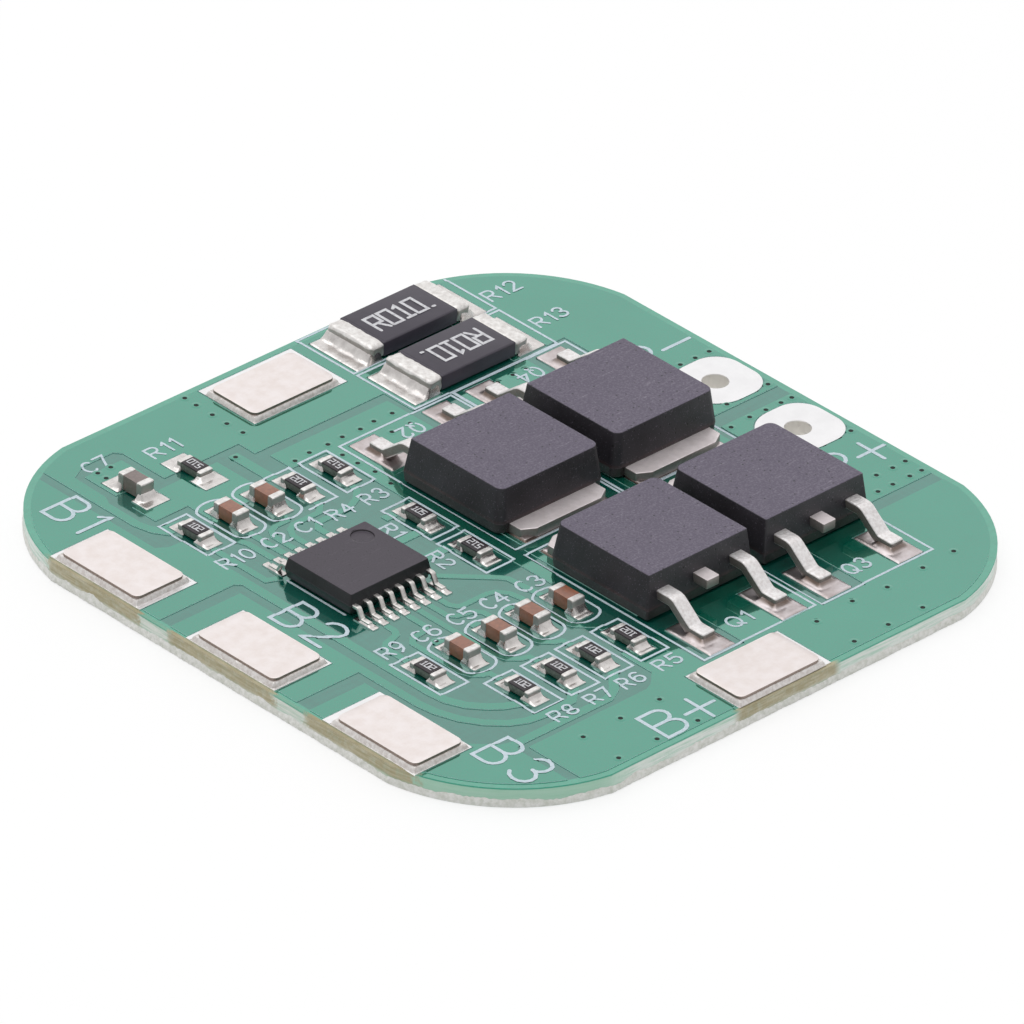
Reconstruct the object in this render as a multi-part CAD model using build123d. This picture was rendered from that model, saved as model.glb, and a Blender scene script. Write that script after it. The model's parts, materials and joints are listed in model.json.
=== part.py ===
from build123d import *
from math import atan2, cos, hypot, radians, sin, tan
import os

os.makedirs("parts", exist_ok=True)

# Sizes are in millimetres. X follows the reading direction of the small labels, Y points to the
# edge with the battery negative tab, Z points up. The board rests on z = 0, its centre on x = y = 0.

# Board: a square with large corner arcs, trimmed flat on the four sides.
BOARD_SIDE = 36.0
EDGE = BOARD_SIDE / 2
BOARD_THICKNESS = 1.0
CORNER_RADIUS = 8.65
CORNER_CENTRE = 9.5
COPPER_INSET = 0.35
COPPER_RELIEF = 0.04
MASK_OPENING = 0.06

# Bare tinned lands stand a little higher than the coated copper around them.
LAND_THICKNESS = 0.05

# Wire lands. The plating of a hole is thinner than can be shown, so it is the hole's own wall.
WIRE_HOLE_DIAMETER = 1.3
WIRE_LAND_MARGIN = 0.28
WIRE_LAND_GAP = 0.99
WIRE_LAND_HEIGHT = 3.75
WIRE_LAND_ROUND = 1.85
WIRE_LAND_CORNER = 1.35
WIRE_HOLE_Y = {"minus": 2.72, "plus": -2.68}

# Nickel battery tabs on their solder beds.
NICKEL_LONG = 5.1
NICKEL_WIDE = 3.0
NICKEL_THICKNESS = 0.2
NICKEL_CORNER = 0.35
BED_THICKNESS = 0.15
BED_MARGIN = 0.12

# Power transistors: moulded body, drain plate, two formed leads and a cut centre pin.
BODY_WIDTH = 6.65
BODY_LENGTH = 6.4
BODY_TOP = 2.35
BODY_BOTTOM = 0.1
PARTING_HEIGHT = 0.62
LEAD_HEIGHT = 1.24
BODY_DRAFT_UP = 7.5
BODY_DRAFT_DOWN = 5
BODY_REAR_CORNER = 0.45
BODY_FRONT_EASE = 0.12
PLATE_WIDTH = 5.4
PLATE_THICKNESS = 0.48
PLATE_REACH = 1.1
PLATE_INNER = -2.0
PLATE_LAND_LIP = 0.05
FILM_INSET = 0.6
PLATE_CORNER = (0.7, 0.4)
FILM_THICKNESS = 0.03
LEAD_PITCH = 2.285
LEAD_WIDTH = 0.78
LEAD_THICKNESS = 0.48
LEAD_INSIDE = 0.55
LEAD_SHOULDER = 3.95
LEAD_FOOT_START = 5.15
LEAD_BEND = 0.42
LEAD_END = 6.1
STUB_END = 4.0
LEAD_LAND_SIZE = (1.6, 2.9)
LEAD_LAND_CENTRE = 5.55
POOL_MARGIN = 0.08
POOL_HEIGHT = 0.28

# Controller package with sixteen formed leads.
IC_CENTRE = (-8.58, 1.02)
IC_SIZE = (5.0, 4.4)
IC_BOTTOM = 0.12
IC_PARTING = 0.6
IC_TOP = 1.15
IC_DRAFT = 12
IC_PITCH = 0.65
IC_LEADS_PER_SIDE = 8
IC_CORNER = 0.08
IC_LEAD_INSIDE = 0.3
IC_LEAD_WIDTH = 0.26
IC_LEAD_THICKNESS = 0.15
IC_LEAD_HEIGHT = 0.6
IC_LEAD_SHOULDER = 2.5
IC_FOOT_START = 2.75
IC_FOOT_END = 3.28
IC_LAND_SIZE = (0.38, 1.3)
IC_LAND_OFFSET = 3.0
DIMPLE_RADIUS = 0.5
DIMPLE_DEPTH = 0.06
DIMPLE_OFFSET = (1.42, 1.22)

# Sense resistors.
SHUNT_SIZE = (6.4, 3.05, 0.78)
SHUNT_TERMINAL = 0.93
SHUNT_LAND_SIZE = (1.65, 3.25)
SHUNT_LAND_SPREAD = 3.32

# Small chip parts: length, width, height and the length of one end cap.
CHIP_LENGTH = 1.6
CHIP_WIDTH = 0.82
RESISTOR_HEIGHT = 0.42
CAPACITOR_HEIGHT = 0.72
CAPACITOR_7_HEIGHT = 0.82
CAP_LENGTH = 0.3
CAP_WALL = 0.03
SHUNT_CAP_WALL = 0.06
CHIP_LAND_SIZE = (0.93, 0.95)
CHIP_LAND_SPREAD = 0.83
FILLET_SHARE = 0.75
FILLET_HOLLOW = 0.32

TOP = BOARD_THICKNESS
LAND_TOP = TOP + LAND_THICKNESS

# Positions read from the picture: centre x, centre y, and for transistors the turn about Z.
TRANSISTORS = {
    "q1": (2.03, -6.96, 0),
    "q2": (2.0, 2.56, 180),
    "q3": (9.38, -7.0, 0),
    "q4": (9.36, 2.62, 180),
}
WIRE_LAND_X = (TRANSISTORS["q3"][0] + BODY_WIDTH / 2 + WIRE_LAND_GAP, EDGE - WIRE_LAND_MARGIN)
SHUNTS = {"r12": (7.83, 15.68), "r13": (7.83, 11.78)}
RESISTORS = {
    "r1": (-2.98, 2.91), "r2": (-3.0, -0.78), "r3": (-3.08, 8.32), "r4": (-5.36, 8.35),
    "r5": (-2.91, -10.62), "r6": (-5.11, -10.62), "r7": (-7.24, -10.62), "r8": (-9.47, -10.6),
    "r9": (-11.65, -6.82), "r10": (-11.61, 8.45), "r11": (-7.95, 12.48),
}
CAPACITORS = {
    "c1": (-7.24, 8.42), "c2": (-9.46, 8.42), "c3": (-2.97, -6.7), "c4": (-5.1, -6.7),
    "c5": (-7.18, -6.7), "c6": (-9.43, -6.7), "c7": (-11.13, 12.98),
}
WIDE_LAND_SIZE = (1.42, 1.05)
WIDE_LAND_SPREAD = 1.0
WIDE_LAND_PARTS = ("r11", "c7")

# Tab name: land x0, y0, x1, y1, nickel centre x, y, and whether the long side lies along X.
SIDE_LAND = (0.2 - EDGE, 3.7 - EDGE)
SIDE_NICKEL_X = 1.9 - EDGE
TABS = {
    "b_minus": ((-3.05, EDGE - 4.25, 2.75, EDGE - 0.45), (-0.33, EDGE - 2.55), True),
    "b1": ((SIDE_LAND[0], 5.45, SIDE_LAND[1], 11.4), (SIDE_NICKEL_X, 8.42), False),
    "b2": ((SIDE_LAND[0], -3.4, SIDE_LAND[1], 2.4), (SIDE_NICKEL_X, -0.57), False),
    "b3": ((SIDE_LAND[0], -12.45, SIDE_LAND[1], -6.5), (SIDE_NICKEL_X, -9.68), False),
    "b_plus": ((-3.08, 0.15 - EDGE, 2.7, 3.55 - EDGE), (-0.33, 1.78 - EDGE), True),
}

# Coated copper areas, as closed outlines.
POURS = [
    # First cell tab and the neck that feeds its balance resistor.
    [(-EDGE, 4.28), (-13.15, 4.28), (-12.85, 4.0), (-12.35, 4.0), (-12.35, 8.45), (-13.2, 8.5),
     (-13.75, 8.85), (-13.75, EDGE), (-EDGE, EDGE)],
    # Second and third cell tabs.
    [(-EDGE, 3.55), (-13.42, 3.55), (-13.42, -4.68), (-EDGE, -4.68)],
    [(-EDGE, -5.55), (-14.3, -5.55), (-14.3, -12.05), (-13.2, -13.1), (-12.7, -13.25),
     (-12.7, -13.7), (-12.9, -13.9), (-12.9, -EDGE), (-EDGE, -EDGE)],
    # Battery negative, with the arm down the left side.
    [(3.35, 11.9), (-4.75, 11.9), (-4.75, 13.0), (-9.35, 13.0), (-9.35, 15.8), (-9.65, 16.15),
     (-11.5, 16.15), (-12.45, 15.65), (-12.5, 13.5), (-12.75, 13.0), (-12.75, 10.9),
     (-12.6, 10.3), (-12.3, 10.0), (-11.3, 9.85), (-11.3, 9.2), (-12.5, 9.25), (-12.95, 9.9),
     (-13.2, 10.9), (-13.2, EDGE), (5.6, EDGE), (5.6, 9.95), (3.35, 9.95)],
    # Small islands beside the upper chips.
    [(-12.05, 15.4), (-9.8, 15.4), (-9.8, 13.3), (-12.05, 13.3)],
    [(-12.15, 12.1), (-12.15, 10.55), (-10.15, 10.55), (-10.15, 9.0), (-6.6, 9.0),
     (-6.6, 12.45), (-10.2, 12.4), (-10.9, 12.1)],
    # Sense node with its long leg beside the transistors.
    [(-4.35, 9.85), (-4.35, 11.3), (3.0, 11.3), (3.0, 6.4), (-1.15, 6.4), (-1.55, 5.4),
     (-1.55, -4.5), (-2.0, -4.95), (-2.2, -4.95), (-2.2, 9.85)],
    [(5.9, 6.4), (5.9, 9.75), (10.4, 9.75), (10.4, 6.4)],
    # Drain areas of the upper transistors.
    [(-0.95, -1.66), (5.1, -1.66), (5.1, 5.4), (-0.95, 5.4)],
    [(6.2, -1.66), (12.6, -1.66), (12.6, 5.4), (6.2, 5.4)],
    # Load negative.
    [(13.15, 0.6), (EDGE, 0.6), (EDGE, EDGE), (9.9, EDGE), (9.9, 10.1), (13.15, 10.1)],
    # Load positive and the drains of the lower transistors.
    [(13.1, -0.3), (EDGE, -0.3), (EDGE, -9.4), (-1.15, -9.4), (-1.15, -2.1), (13.1, -2.1)],
    # Battery positive.
    [(-12.35, -EDGE), (-12.35, -14.05), (-5.1, -14.05), (-4.65, -13.85), (-3.95, -13.2),
     (-3.95, -11.2), (-1.65, -11.2), (-1.65, -10.15), (EDGE, -10.15), (EDGE, -EDGE)],
]
CLEARANCES = [
    [(-1.65, -14.2), (0.95, -14.2), (0.95, -10.0), (-1.65, -10.0)],
    [(5.8, -14.25), (8.55, -14.25), (8.55, -10.0), (5.8, -10.0)],
]
# Coated tracks: width, then the centre line.
TRACKS = [
    (0.5, [(-12.6, 4.4), (-12.6, -8.0), (-12.5, -8.9), (-12.12, -9.75), (-11.5, -10.45),
           (-10.9, -10.92), (-9.6, -11.5)]),
    (0.45, [(-13.64, -4.4), (-13.64, -8.3), (-13.5, -9.3), (-13.1, -10.4), (-12.5, -11.3),
            (-11.7, -12.05), (-10.9, -12.45), (-10.2, -12.55), (-8.3, -12.55), (-7.3, -11.7)]),
    (0.45, [(-12.9, -13.48), (-6.9, -13.48), (-6.2, -13.1), (-5.1, -11.9)]),
    (0.55, [(-5.62, 12.45), (-5.62, 9.3)]),
    (0.33, [(-11.78, 7.4), (-11.78, 3.6), (-11.1, 3.3)]),
    (0.33, [(-10.28, 4.2), (-10.28, 6.4), (-10.42, 6.8), (-10.42, 8.3), (-9.8, 9.1)]),
    (0.33, [(-9.6, 4.2), (-9.6, 7.5)]),
    (0.3, [(-8.97, 4.2), (-8.97, 6.1), (-8.7, 6.55), (-8.3, 6.72), (-7.6, 6.72), (-7.3, 7.4)]),
    (0.3, [(-8.27, 4.2), (-8.27, 5.6), (-8.0, 6.05), (-7.6, 6.28), (-6.0, 6.28),
           (-5.55, 6.7), (-5.5, 7.4)]),
    (0.33, [(-6.97, 4.2), (-6.97, 5.3), (-6.6, 5.68), (-4.6, 5.72), (-3.9, 6.05),
            (-3.35, 6.6), (-3.25, 7.4)]),
    (0.33, [(-10.28, -2.2), (-10.28, -3.2), (-10.45, -3.5), (-10.75, -3.62), (-11.3, -3.75),
            (-11.58, -4.0), (-11.62, -5.8)]),
    (0.3, [(-8.97, -2.2), (-8.97, -3.85), (-9.25, -4.12), (-10.1, -4.2), (-10.4, -4.5),
           (-10.42, -7.6), (-10.2, -8.15), (-9.85, -8.45), (-9.5, -8.55), (-9.47, -9.6)]),
    (0.3, [(-8.28, -2.2), (-8.28, -7.6), (-8.05, -8.2), (-7.6, -8.6), (-7.2, -8.72),
           (-7.15, -9.6)]),
    (0.3, [(-7.62, -2.2), (-7.62, -3.8), (-7.3, -4.15), (-6.5, -4.35), (-6.2, -4.7),
           (-6.15, -7.7), (-5.9, -8.2), (-5.5, -8.58), (-5.15, -8.7), (-5.07, -9.6)]),
    (0.3, [(-6.95, -2.2), (-6.95, -3.2), (-6.75, -3.58), (-6.5, -3.68), (-5.0, -3.68),
           (-4.6, -3.8), (-4.2, -4.3), (-4.08, -4.9), (-4.05, -7.7), (-3.8, -8.2),
           (-3.4, -8.55), (-3.1, -8.8), (-3.0, -9.6)]),
    (0.33, [(-5.9, -0.9), (-3.6, -3.07), (-3.38, -3.4), (-3.2, -5.7)]),
    (0.5, [(-9.45, -5.8), (-9.45, -4.95)]),
    (0.5, [(-7.2, -5.8), (-7.2, -4.95)]),
    (0.5, [(-5.1, -5.8), (-5.1, -4.95)]),
    (0.45, [(-6.1, 2.1), (-3.2, 2.1)]),
    (0.5, [(-6.1, 0.3), (-3.3, 0.3)]),
    (0.45, [(-4.15, 3.95), (-3.2, 3.95)]),
]


def outline(inset):
    """Board outline as a face, drawn in by an inset."""
    rounded = 2 * (CORNER_CENTRE + CORNER_RADIUS - inset)
    square = BOARD_SIDE - 2 * inset
    return RectangleRounded(rounded, rounded, CORNER_RADIUS - inset) & Rectangle(square, square)


def area(points):
    """Closed outline as a face."""
    return make_face(Polyline(*points, close=True))


def strip_points(points, width):
    """Corner points of a band of one width along a centre line, with mitred bends."""
    left, right = [], []
    for i, (x, y) in enumerate(points):
        before = points[max(i - 1, 0)]
        after = points[min(i + 1, len(points) - 1)]
        first = atan2(y - before[1], x - before[0]) if i else None
        last = atan2(after[1] - y, after[0] - x) if i < len(points) - 1 else None
        first = last if first is None else first
        last = first if last is None else last
        ux, uy = cos(first) + cos(last), sin(first) + sin(last)
        size = hypot(ux, uy)
        half = width / size
        left.append((x - uy / size * half, y + ux / size * half))
        right.append((x + uy / size * half, y - ux / size * half))
    return left + right[::-1]


def box(x0, y0, x1, y1, z0, z1):
    """Upright block between two corners and two heights."""
    return Pos((x0 + x1) / 2, (y0 + y1) / 2, z0) * Box(
        x1 - x0, y1 - y0, z1 - z0, align=(Align.CENTER, Align.CENTER, Align.MIN))


def place(shape, x, y, turn=0):
    """Shape moved to a board position and turned about the vertical."""
    return Pos(x, y, 0) * Rot(0, 0, turn) * shape


def write(shape, name):
    """Save one node of the part."""
    shape.label = name
    export_step(shape, f"parts/{name}.step")


def group(shapes, name):
    """Save a set of separate solids as one node."""
    solids = [solid for shape in shapes for solid in shape.solids()]
    write(Compound(label=name, children=solids), name)


def frustum(low, high, z0, z1):
    """Straight-sided solid between two faces of the same make at two heights."""
    return loft([Pos(0, 0, z0) * low, Pos(0, 0, z1) * high], ruled=True)


def body_section(size, inset, corners):
    """Package outline drawn in by an inset: rounded towards +Y, eased towards -Y."""
    section = Rectangle(size[0] - 2 * inset, size[1] - 2 * inset)
    section = fillet(section.vertices().group_by(Axis.Y)[-1], corners[0])
    return chamfer(section.vertices().group_by(Axis.Y)[0], corners[1])


def moulded_body(size, bottom, parting, top, draft_up, draft_down, corners):
    """Moulded package drafted up and down from its parting line."""
    widest = body_section(size, 0, corners)
    upper = body_section(size, (top - parting) * tan(radians(draft_up)), corners)
    lower = body_section(size, (parting - bottom) * tan(radians(draft_down)), corners)
    return frustum(widest, upper, parting, top) + frustum(lower, widest, bottom, parting)


def formed_lead(path, bend, thickness, width):
    """Lead bent in the YZ plane with rounded bends and given its width along X."""
    profile = Plane.YZ * trace(FilletPolyline(*path, radius=bend), thickness)
    return extrude(profile, width / 2, both=True)


def fine_lead(path, thickness, width):
    """Small lead with sharp bends in the YZ plane, given its width along X."""
    profile = Plane.YZ * area(strip_points(path, thickness))
    return extrude(profile, width / 2, both=True)


def transistor():
    """Solids of one power transistor, leads towards -Y, standing on its lands."""
    seat = LAND_TOP + FILM_THICKNESS
    half_length = BODY_LENGTH / 2
    body = moulded_body((BODY_WIDTH, BODY_LENGTH), TOP + BODY_BOTTOM, TOP + PARTING_HEIGHT,
                        TOP + BODY_TOP, BODY_DRAFT_UP, BODY_DRAFT_DOWN,
                        (BODY_REAR_CORNER, BODY_FRONT_EASE))
    reach = half_length + PLATE_REACH
    half_plate = PLATE_WIDTH / 2
    cut_x, cut_y = PLATE_CORNER
    plate = extrude(Pos(0, 0, seat) * area([
        (-half_plate, PLATE_INNER), (half_plate, PLATE_INNER), (half_plate, reach - cut_y),
        (half_plate - cut_x, reach), (cut_x - half_plate, reach), (-half_plate, reach - cut_y),
    ]), PLATE_THICKNESS)
    lead_low = TOP + LEAD_HEIGHT - LEAD_THICKNESS / 2
    lead_high = lead_low + LEAD_THICKNESS
    half_lead = LEAD_WIDTH / 2
    web_back = PLATE_INNER + LEAD_THICKNESS
    drain = plate
    drain += box(-half_lead, PLATE_INNER, half_lead, web_back, seat, lead_high)
    drain += box(-half_lead, -STUB_END, half_lead, web_back, lead_low, lead_high)
    foot_centre = LAND_TOP + LEAD_THICKNESS / 2
    path = [(LEAD_INSIDE - half_length, TOP + LEAD_HEIGHT), (-LEAD_SHOULDER, TOP + LEAD_HEIGHT),
            (-LEAD_FOOT_START, foot_centre), (-LEAD_END, foot_centre)]
    lead = formed_lead(path, LEAD_BEND, LEAD_THICKNESS, LEAD_WIDTH)
    gate = Pos(-LEAD_PITCH, 0, 0) * lead
    source = Pos(LEAD_PITCH, 0, 0) * lead
    body = body - drain - gate - source
    land_x, land_y = LEAD_LAND_SIZE
    land_centre = -LEAD_LAND_CENTRE
    lands, solder = [], []
    for side in (-1, 1):
        x = side * LEAD_PITCH
        spot = Pos(x, land_centre, 0) * Rectangle(land_x, land_y)
        lands.append(extrude(Pos(0, 0, TOP) * spot, LAND_THICKNESS))
        wide = Rectangle(land_x - 2 * POOL_MARGIN, land_y - 2 * POOL_MARGIN)
        narrow = Rectangle(LEAD_WIDTH + 2 * POOL_MARGIN, land_y - 12 * POOL_MARGIN)
        pool = Pos(x, land_centre, 0) * frustum(wide, narrow, LAND_TOP, LAND_TOP + POOL_HEIGHT)
        solder.append(pool - (gate if side < 0 else source))
    lip = PLATE_LAND_LIP
    lands.append(box(-half_plate - lip, PLATE_INNER - lip, half_plate + lip, reach + lip,
                     TOP, LAND_TOP))
    solder.append(box(FILM_INSET - half_plate, PLATE_INNER + FILM_INSET, half_plate - FILM_INSET,
                      reach - cut_y, LAND_TOP, seat))
    return {"body": body, "drain": drain, "gate": gate, "source": source}, lands, solder


def controller():
    """Solids of the controller package, long side along X, standing on its lands."""
    body = moulded_body(IC_SIZE, TOP + IC_BOTTOM, TOP + IC_PARTING, TOP + IC_TOP,
                        IC_DRAFT, IC_DRAFT, (IC_CORNER, IC_CORNER))
    body -= Pos(*DIMPLE_OFFSET, TOP + IC_TOP) * Cylinder(DIMPLE_RADIUS, 2 * DIMPLE_DEPTH)
    foot = LAND_TOP + IC_LEAD_THICKNESS / 2
    path = [(IC_LEAD_INSIDE - IC_SIZE[1] / 2, TOP + IC_LEAD_HEIGHT),
            (-IC_LEAD_SHOULDER, TOP + IC_LEAD_HEIGHT), (-IC_FOOT_START, foot), (-IC_FOOT_END, foot)]
    lead = fine_lead(path, IC_LEAD_THICKNESS, IC_LEAD_WIDTH)
    leads, lands, solder = [], [], []
    land_x, land_y = IC_LAND_SIZE
    toe = [(-IC_FOOT_END, LAND_TOP), (-IC_LAND_OFFSET - land_y / 2 + MASK_OPENING, LAND_TOP),
           (-IC_FOOT_END, LAND_TOP + IC_LEAD_THICKNESS * FILLET_SHARE)]
    wedge = extrude(Plane.YZ * area(toe), IC_LEAD_WIDTH / 2, both=True)
    for turn in (0, 180):
        for i in range(IC_LEADS_PER_SIDE):
            x = (i - (IC_LEADS_PER_SIDE - 1) / 2) * IC_PITCH
            leads.append(Rot(0, 0, turn) * Pos(x, 0, 0) * lead)
            solder.append(Rot(0, 0, turn) * Pos(x, 0, 0) * wedge)
            spot = box(x - land_x / 2, -IC_LAND_OFFSET - land_y / 2, x + land_x / 2,
                       -IC_LAND_OFFSET + land_y / 2, TOP, LAND_TOP)
            lands.append(Rot(0, 0, turn) * spot)
    for one in leads:
        body -= one
    return body, leads, lands, solder


def chip(length, width, height, cap, wall, land, spread):
    """Chip part lying along X: core, two end caps, two lands and two end fillets."""
    ease = 2 * wall
    core = box(-length / 2 + wall, wall - width / 2, length / 2 - wall, width / 2 - wall,
               LAND_TOP + wall, LAND_TOP + height - wall)
    caps, lands, solder = [], [], []
    for turn in (0, 180):
        end = box(length / 2 - cap, -width / 2, length / 2, width / 2, LAND_TOP, LAND_TOP + height)
        outer = end.faces().sort_by(Axis.X)[-1].edges().filter_by(Axis.Y)
        end = chamfer(outer, ease)
        caps.append(Rot(0, 0, turn) * (end - core))
        land_x, land_y = land
        lands.append(Rot(0, 0, turn) * box(spread - land_x / 2, -land_y / 2, spread + land_x / 2,
                                           land_y / 2, TOP, LAND_TOP))
        rise = height * FILLET_SHARE
        run = spread + land_x / 2 - length / 2 - MASK_OPENING
        toe = [(length / 2, LAND_TOP + ease), (length / 2 - ease, LAND_TOP),
               (length / 2 + run, LAND_TOP),
               (length / 2 + run * FILLET_HOLLOW, LAND_TOP + rise * FILLET_HOLLOW),
               (length / 2, LAND_TOP + rise)]
        profile = Plane.XZ * area(toe)
        solder.append(Rot(0, 0, turn) * extrude(profile, width / 2 - wall, both=True))
    return core, caps, lands, solder


def wire_land_face(hole_y, margin):
    """Wire land outline with a margin, between the transistor column and the board edge."""
    x0, x1 = WIRE_LAND_X
    long, wide = x1 - x0 + 2 * margin, WIRE_LAND_HEIGHT + 2 * margin
    face = Pos(sum(WIRE_LAND_X) / 2, hole_y) * Rectangle(long, wide)
    inner = min(WIRE_LAND_ROUND, 0.49 * wide, 0.55 * long)
    outer = min(WIRE_LAND_CORNER, 0.4 * long)
    face = fillet(face.vertices().group_by(Axis.X)[0], inner)
    return fillet(face.vertices().group_by(Axis.X)[-1], outer)


def wire_land(hole_y):
    """Land for a wire: a rounded plate around its hole."""
    plate = extrude(Pos(0, 0, TOP) * wire_land_face(hole_y, 0), LAND_THICKNESS)
    return plate - wire_hole(hole_y)


def wire_hole(hole_y):
    """Cutter for the hole of a wire land."""
    return Pos(sum(WIRE_LAND_X) / 2, hole_y, TOP / 2) * Cylinder(WIRE_HOLE_DIAMETER / 2, 3 * TOP)


# Plated lands and small parts are made first, since the coated copper is cut back around them.
all_lands, chip_caps, chip_solder, power_solder = [], [], [], []

for name, (x, y, turn) in TRANSISTORS.items():
    pieces, lands, solder = transistor()
    for kind, solid in pieces.items():
        write(place(solid, x, y, turn), f"{name}_{kind}")
    all_lands += [place(one, x, y, turn) for one in lands]
    power_solder += [place(one, x, y, turn) for one in solder]
group(power_solder, "transistor_solder")

ic_body, ic_leads, ic_lands, ic_solder = controller()
write(place(ic_body, *IC_CENTRE), "controller_body")
group([place(one, *IC_CENTRE) for one in ic_leads], "controller_leads")
group([place(one, *IC_CENTRE) for one in ic_solder], "controller_solder")
all_lands += [place(one, *IC_CENTRE) for one in ic_lands]

for name, spot in SHUNTS.items():
    core, caps, lands, solder = chip(*SHUNT_SIZE, SHUNT_TERMINAL, SHUNT_CAP_WALL,
                                     SHUNT_LAND_SIZE, SHUNT_LAND_SPREAD)
    write(place(core, *spot), f"{name}_body")
    group([place(one, *spot) for one in caps], f"{name}_terminals")
    all_lands += [place(one, *spot) for one in lands]
    chip_solder += [place(one, *spot) for one in solder]

small = [(name, spot, RESISTOR_HEIGHT) for name, spot in RESISTORS.items()]
small += [(name, spot, CAPACITOR_HEIGHT) for name, spot in CAPACITORS.items()]
for name, spot, height in small:
    wide = name in WIDE_LAND_PARTS
    height = CAPACITOR_7_HEIGHT if name == "c7" else height
    land = WIDE_LAND_SIZE[::-1] if wide else CHIP_LAND_SIZE
    spread = WIDE_LAND_SPREAD if wide else CHIP_LAND_SPREAD
    core, caps, lands, solder = chip(CHIP_LENGTH, CHIP_WIDTH, height, CAP_LENGTH, CAP_WALL,
                                     land, spread)
    write(place(core, *spot, 90), f"{name}_body")
    chip_caps += [place(one, *spot, 90) for one in caps]
    all_lands += [place(one, *spot, 90) for one in lands]
    chip_solder += [place(one, *spot, 90) for one in solder]
group(chip_caps, "chip_terminals")
group(chip_solder, "chip_solder")
group(all_lands, "component_lands")

tab_lands = []
for name, ((x0, y0, x1, y1), (x, y), lengthwise) in TABS.items():
    size = (NICKEL_LONG, NICKEL_WIDE) if lengthwise else (NICKEL_WIDE, NICKEL_LONG)
    sheet = RectangleRounded(*size, NICKEL_CORNER)
    base = RectangleRounded(size[0] + 2 * BED_MARGIN, size[1] + 2 * BED_MARGIN, NICKEL_CORNER)
    nickel = extrude(Pos(x, y, LAND_TOP + BED_THICKNESS) * sheet, NICKEL_THICKNESS)
    bed = Pos(x, y, 0) * frustum(base, sheet, LAND_TOP, LAND_TOP + BED_THICKNESS)
    land = box(x0, y0, x1, y1, TOP, LAND_TOP)
    bed = bed & box(x0, y0, x1, y1, LAND_TOP, LAND_TOP + BED_THICKNESS)
    write(nickel, f"tab_{name}")
    write(bed, f"tab_{name}_solder")
    tab_lands.append(land)
group(tab_lands, "tab_lands")

for name, hole_y in WIRE_HOLE_Y.items():
    write(wire_land(hole_y), f"wire_land_{name}")

# Board: core, coated copper standing proud, openings round every land, and the drilled holes.
copper = Sketch() + [area(points) for points in POURS]
copper -= [area(points) for points in CLEARANCES]
copper += [area(strip_points(points, width)) for width, points in TRACKS]
copper = copper & outline(COPPER_INSET)
openings = []
for land in all_lands + tab_lands:
    edge = land.bounding_box()
    openings.append(Pos(edge.center().X, edge.center().Y) * Rectangle(
        edge.size.X + 2 * MASK_OPENING, edge.size.Y + 2 * MASK_OPENING))
openings += [wire_land_face(y, MASK_OPENING) for y in WIRE_HOLE_Y.values()]
copper -= openings
board = extrude(outline(0), TOP) + extrude(Pos(0, 0, TOP) * copper, COPPER_RELIEF)
board -= [wire_hole(y) for y in WIRE_HOLE_Y.values()]
write(board, "board")
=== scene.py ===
"""Looks of a battery charge controller board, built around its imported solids.

Every size is in millimetres until a mesh is made, and then in metres.
"""

from __future__ import annotations

import json
import logging
import math
from dataclasses import dataclass, field
from enum import Enum
from typing import Callable, Iterable, Sequence, Union

import bmesh
import bpy
from mathutils import Matrix, Vector, geometry, noise
from mathutils.bvhtree import BVHTree

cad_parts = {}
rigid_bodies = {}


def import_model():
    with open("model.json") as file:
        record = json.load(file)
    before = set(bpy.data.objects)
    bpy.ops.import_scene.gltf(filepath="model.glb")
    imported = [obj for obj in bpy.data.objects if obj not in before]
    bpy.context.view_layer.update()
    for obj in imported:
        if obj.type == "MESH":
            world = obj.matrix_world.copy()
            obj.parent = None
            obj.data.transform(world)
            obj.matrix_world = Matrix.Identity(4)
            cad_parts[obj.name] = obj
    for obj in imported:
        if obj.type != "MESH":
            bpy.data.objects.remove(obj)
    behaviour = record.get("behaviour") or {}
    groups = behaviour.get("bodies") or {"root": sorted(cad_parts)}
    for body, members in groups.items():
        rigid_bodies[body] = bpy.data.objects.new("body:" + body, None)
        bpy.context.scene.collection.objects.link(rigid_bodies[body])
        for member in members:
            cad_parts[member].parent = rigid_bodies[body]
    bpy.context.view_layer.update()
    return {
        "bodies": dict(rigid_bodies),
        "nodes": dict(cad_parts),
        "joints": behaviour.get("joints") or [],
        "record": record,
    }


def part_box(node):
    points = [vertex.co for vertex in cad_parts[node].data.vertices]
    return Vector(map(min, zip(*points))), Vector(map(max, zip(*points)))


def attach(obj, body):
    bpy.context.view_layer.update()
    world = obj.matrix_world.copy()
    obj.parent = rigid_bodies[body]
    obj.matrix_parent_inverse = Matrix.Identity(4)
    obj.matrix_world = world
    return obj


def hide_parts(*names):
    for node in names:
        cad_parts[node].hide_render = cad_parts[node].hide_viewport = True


MM = 0.001
BOARD_TOP = 1.0
COPPER_TOP = 1.04
LAND_TOP = 1.05
BOARD_HALF = 18.0
CORNER_CENTRE = 9.5
CORNER_RADIUS = 8.65

Point = tuple[float, float]
Spot = tuple[float, float, float]
Colour = tuple[float, float, float]
Box = tuple[float, float, float, float]
log = logging.getLogger("board_looks")


def tint(red: int, green: int, blue: int) -> Colour:
    """Turn a screen colour from 0 to 255 into the linear one that the shaders take."""
    def linear(level: int) -> float:
        """Undo the screen's curve for one level."""
        share = level / 255
        return share / 12.92 if share <= 0.04045 else ((share + 0.055) / 1.055) ** 2.4
    return linear(red), linear(green), linear(blue)


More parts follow.
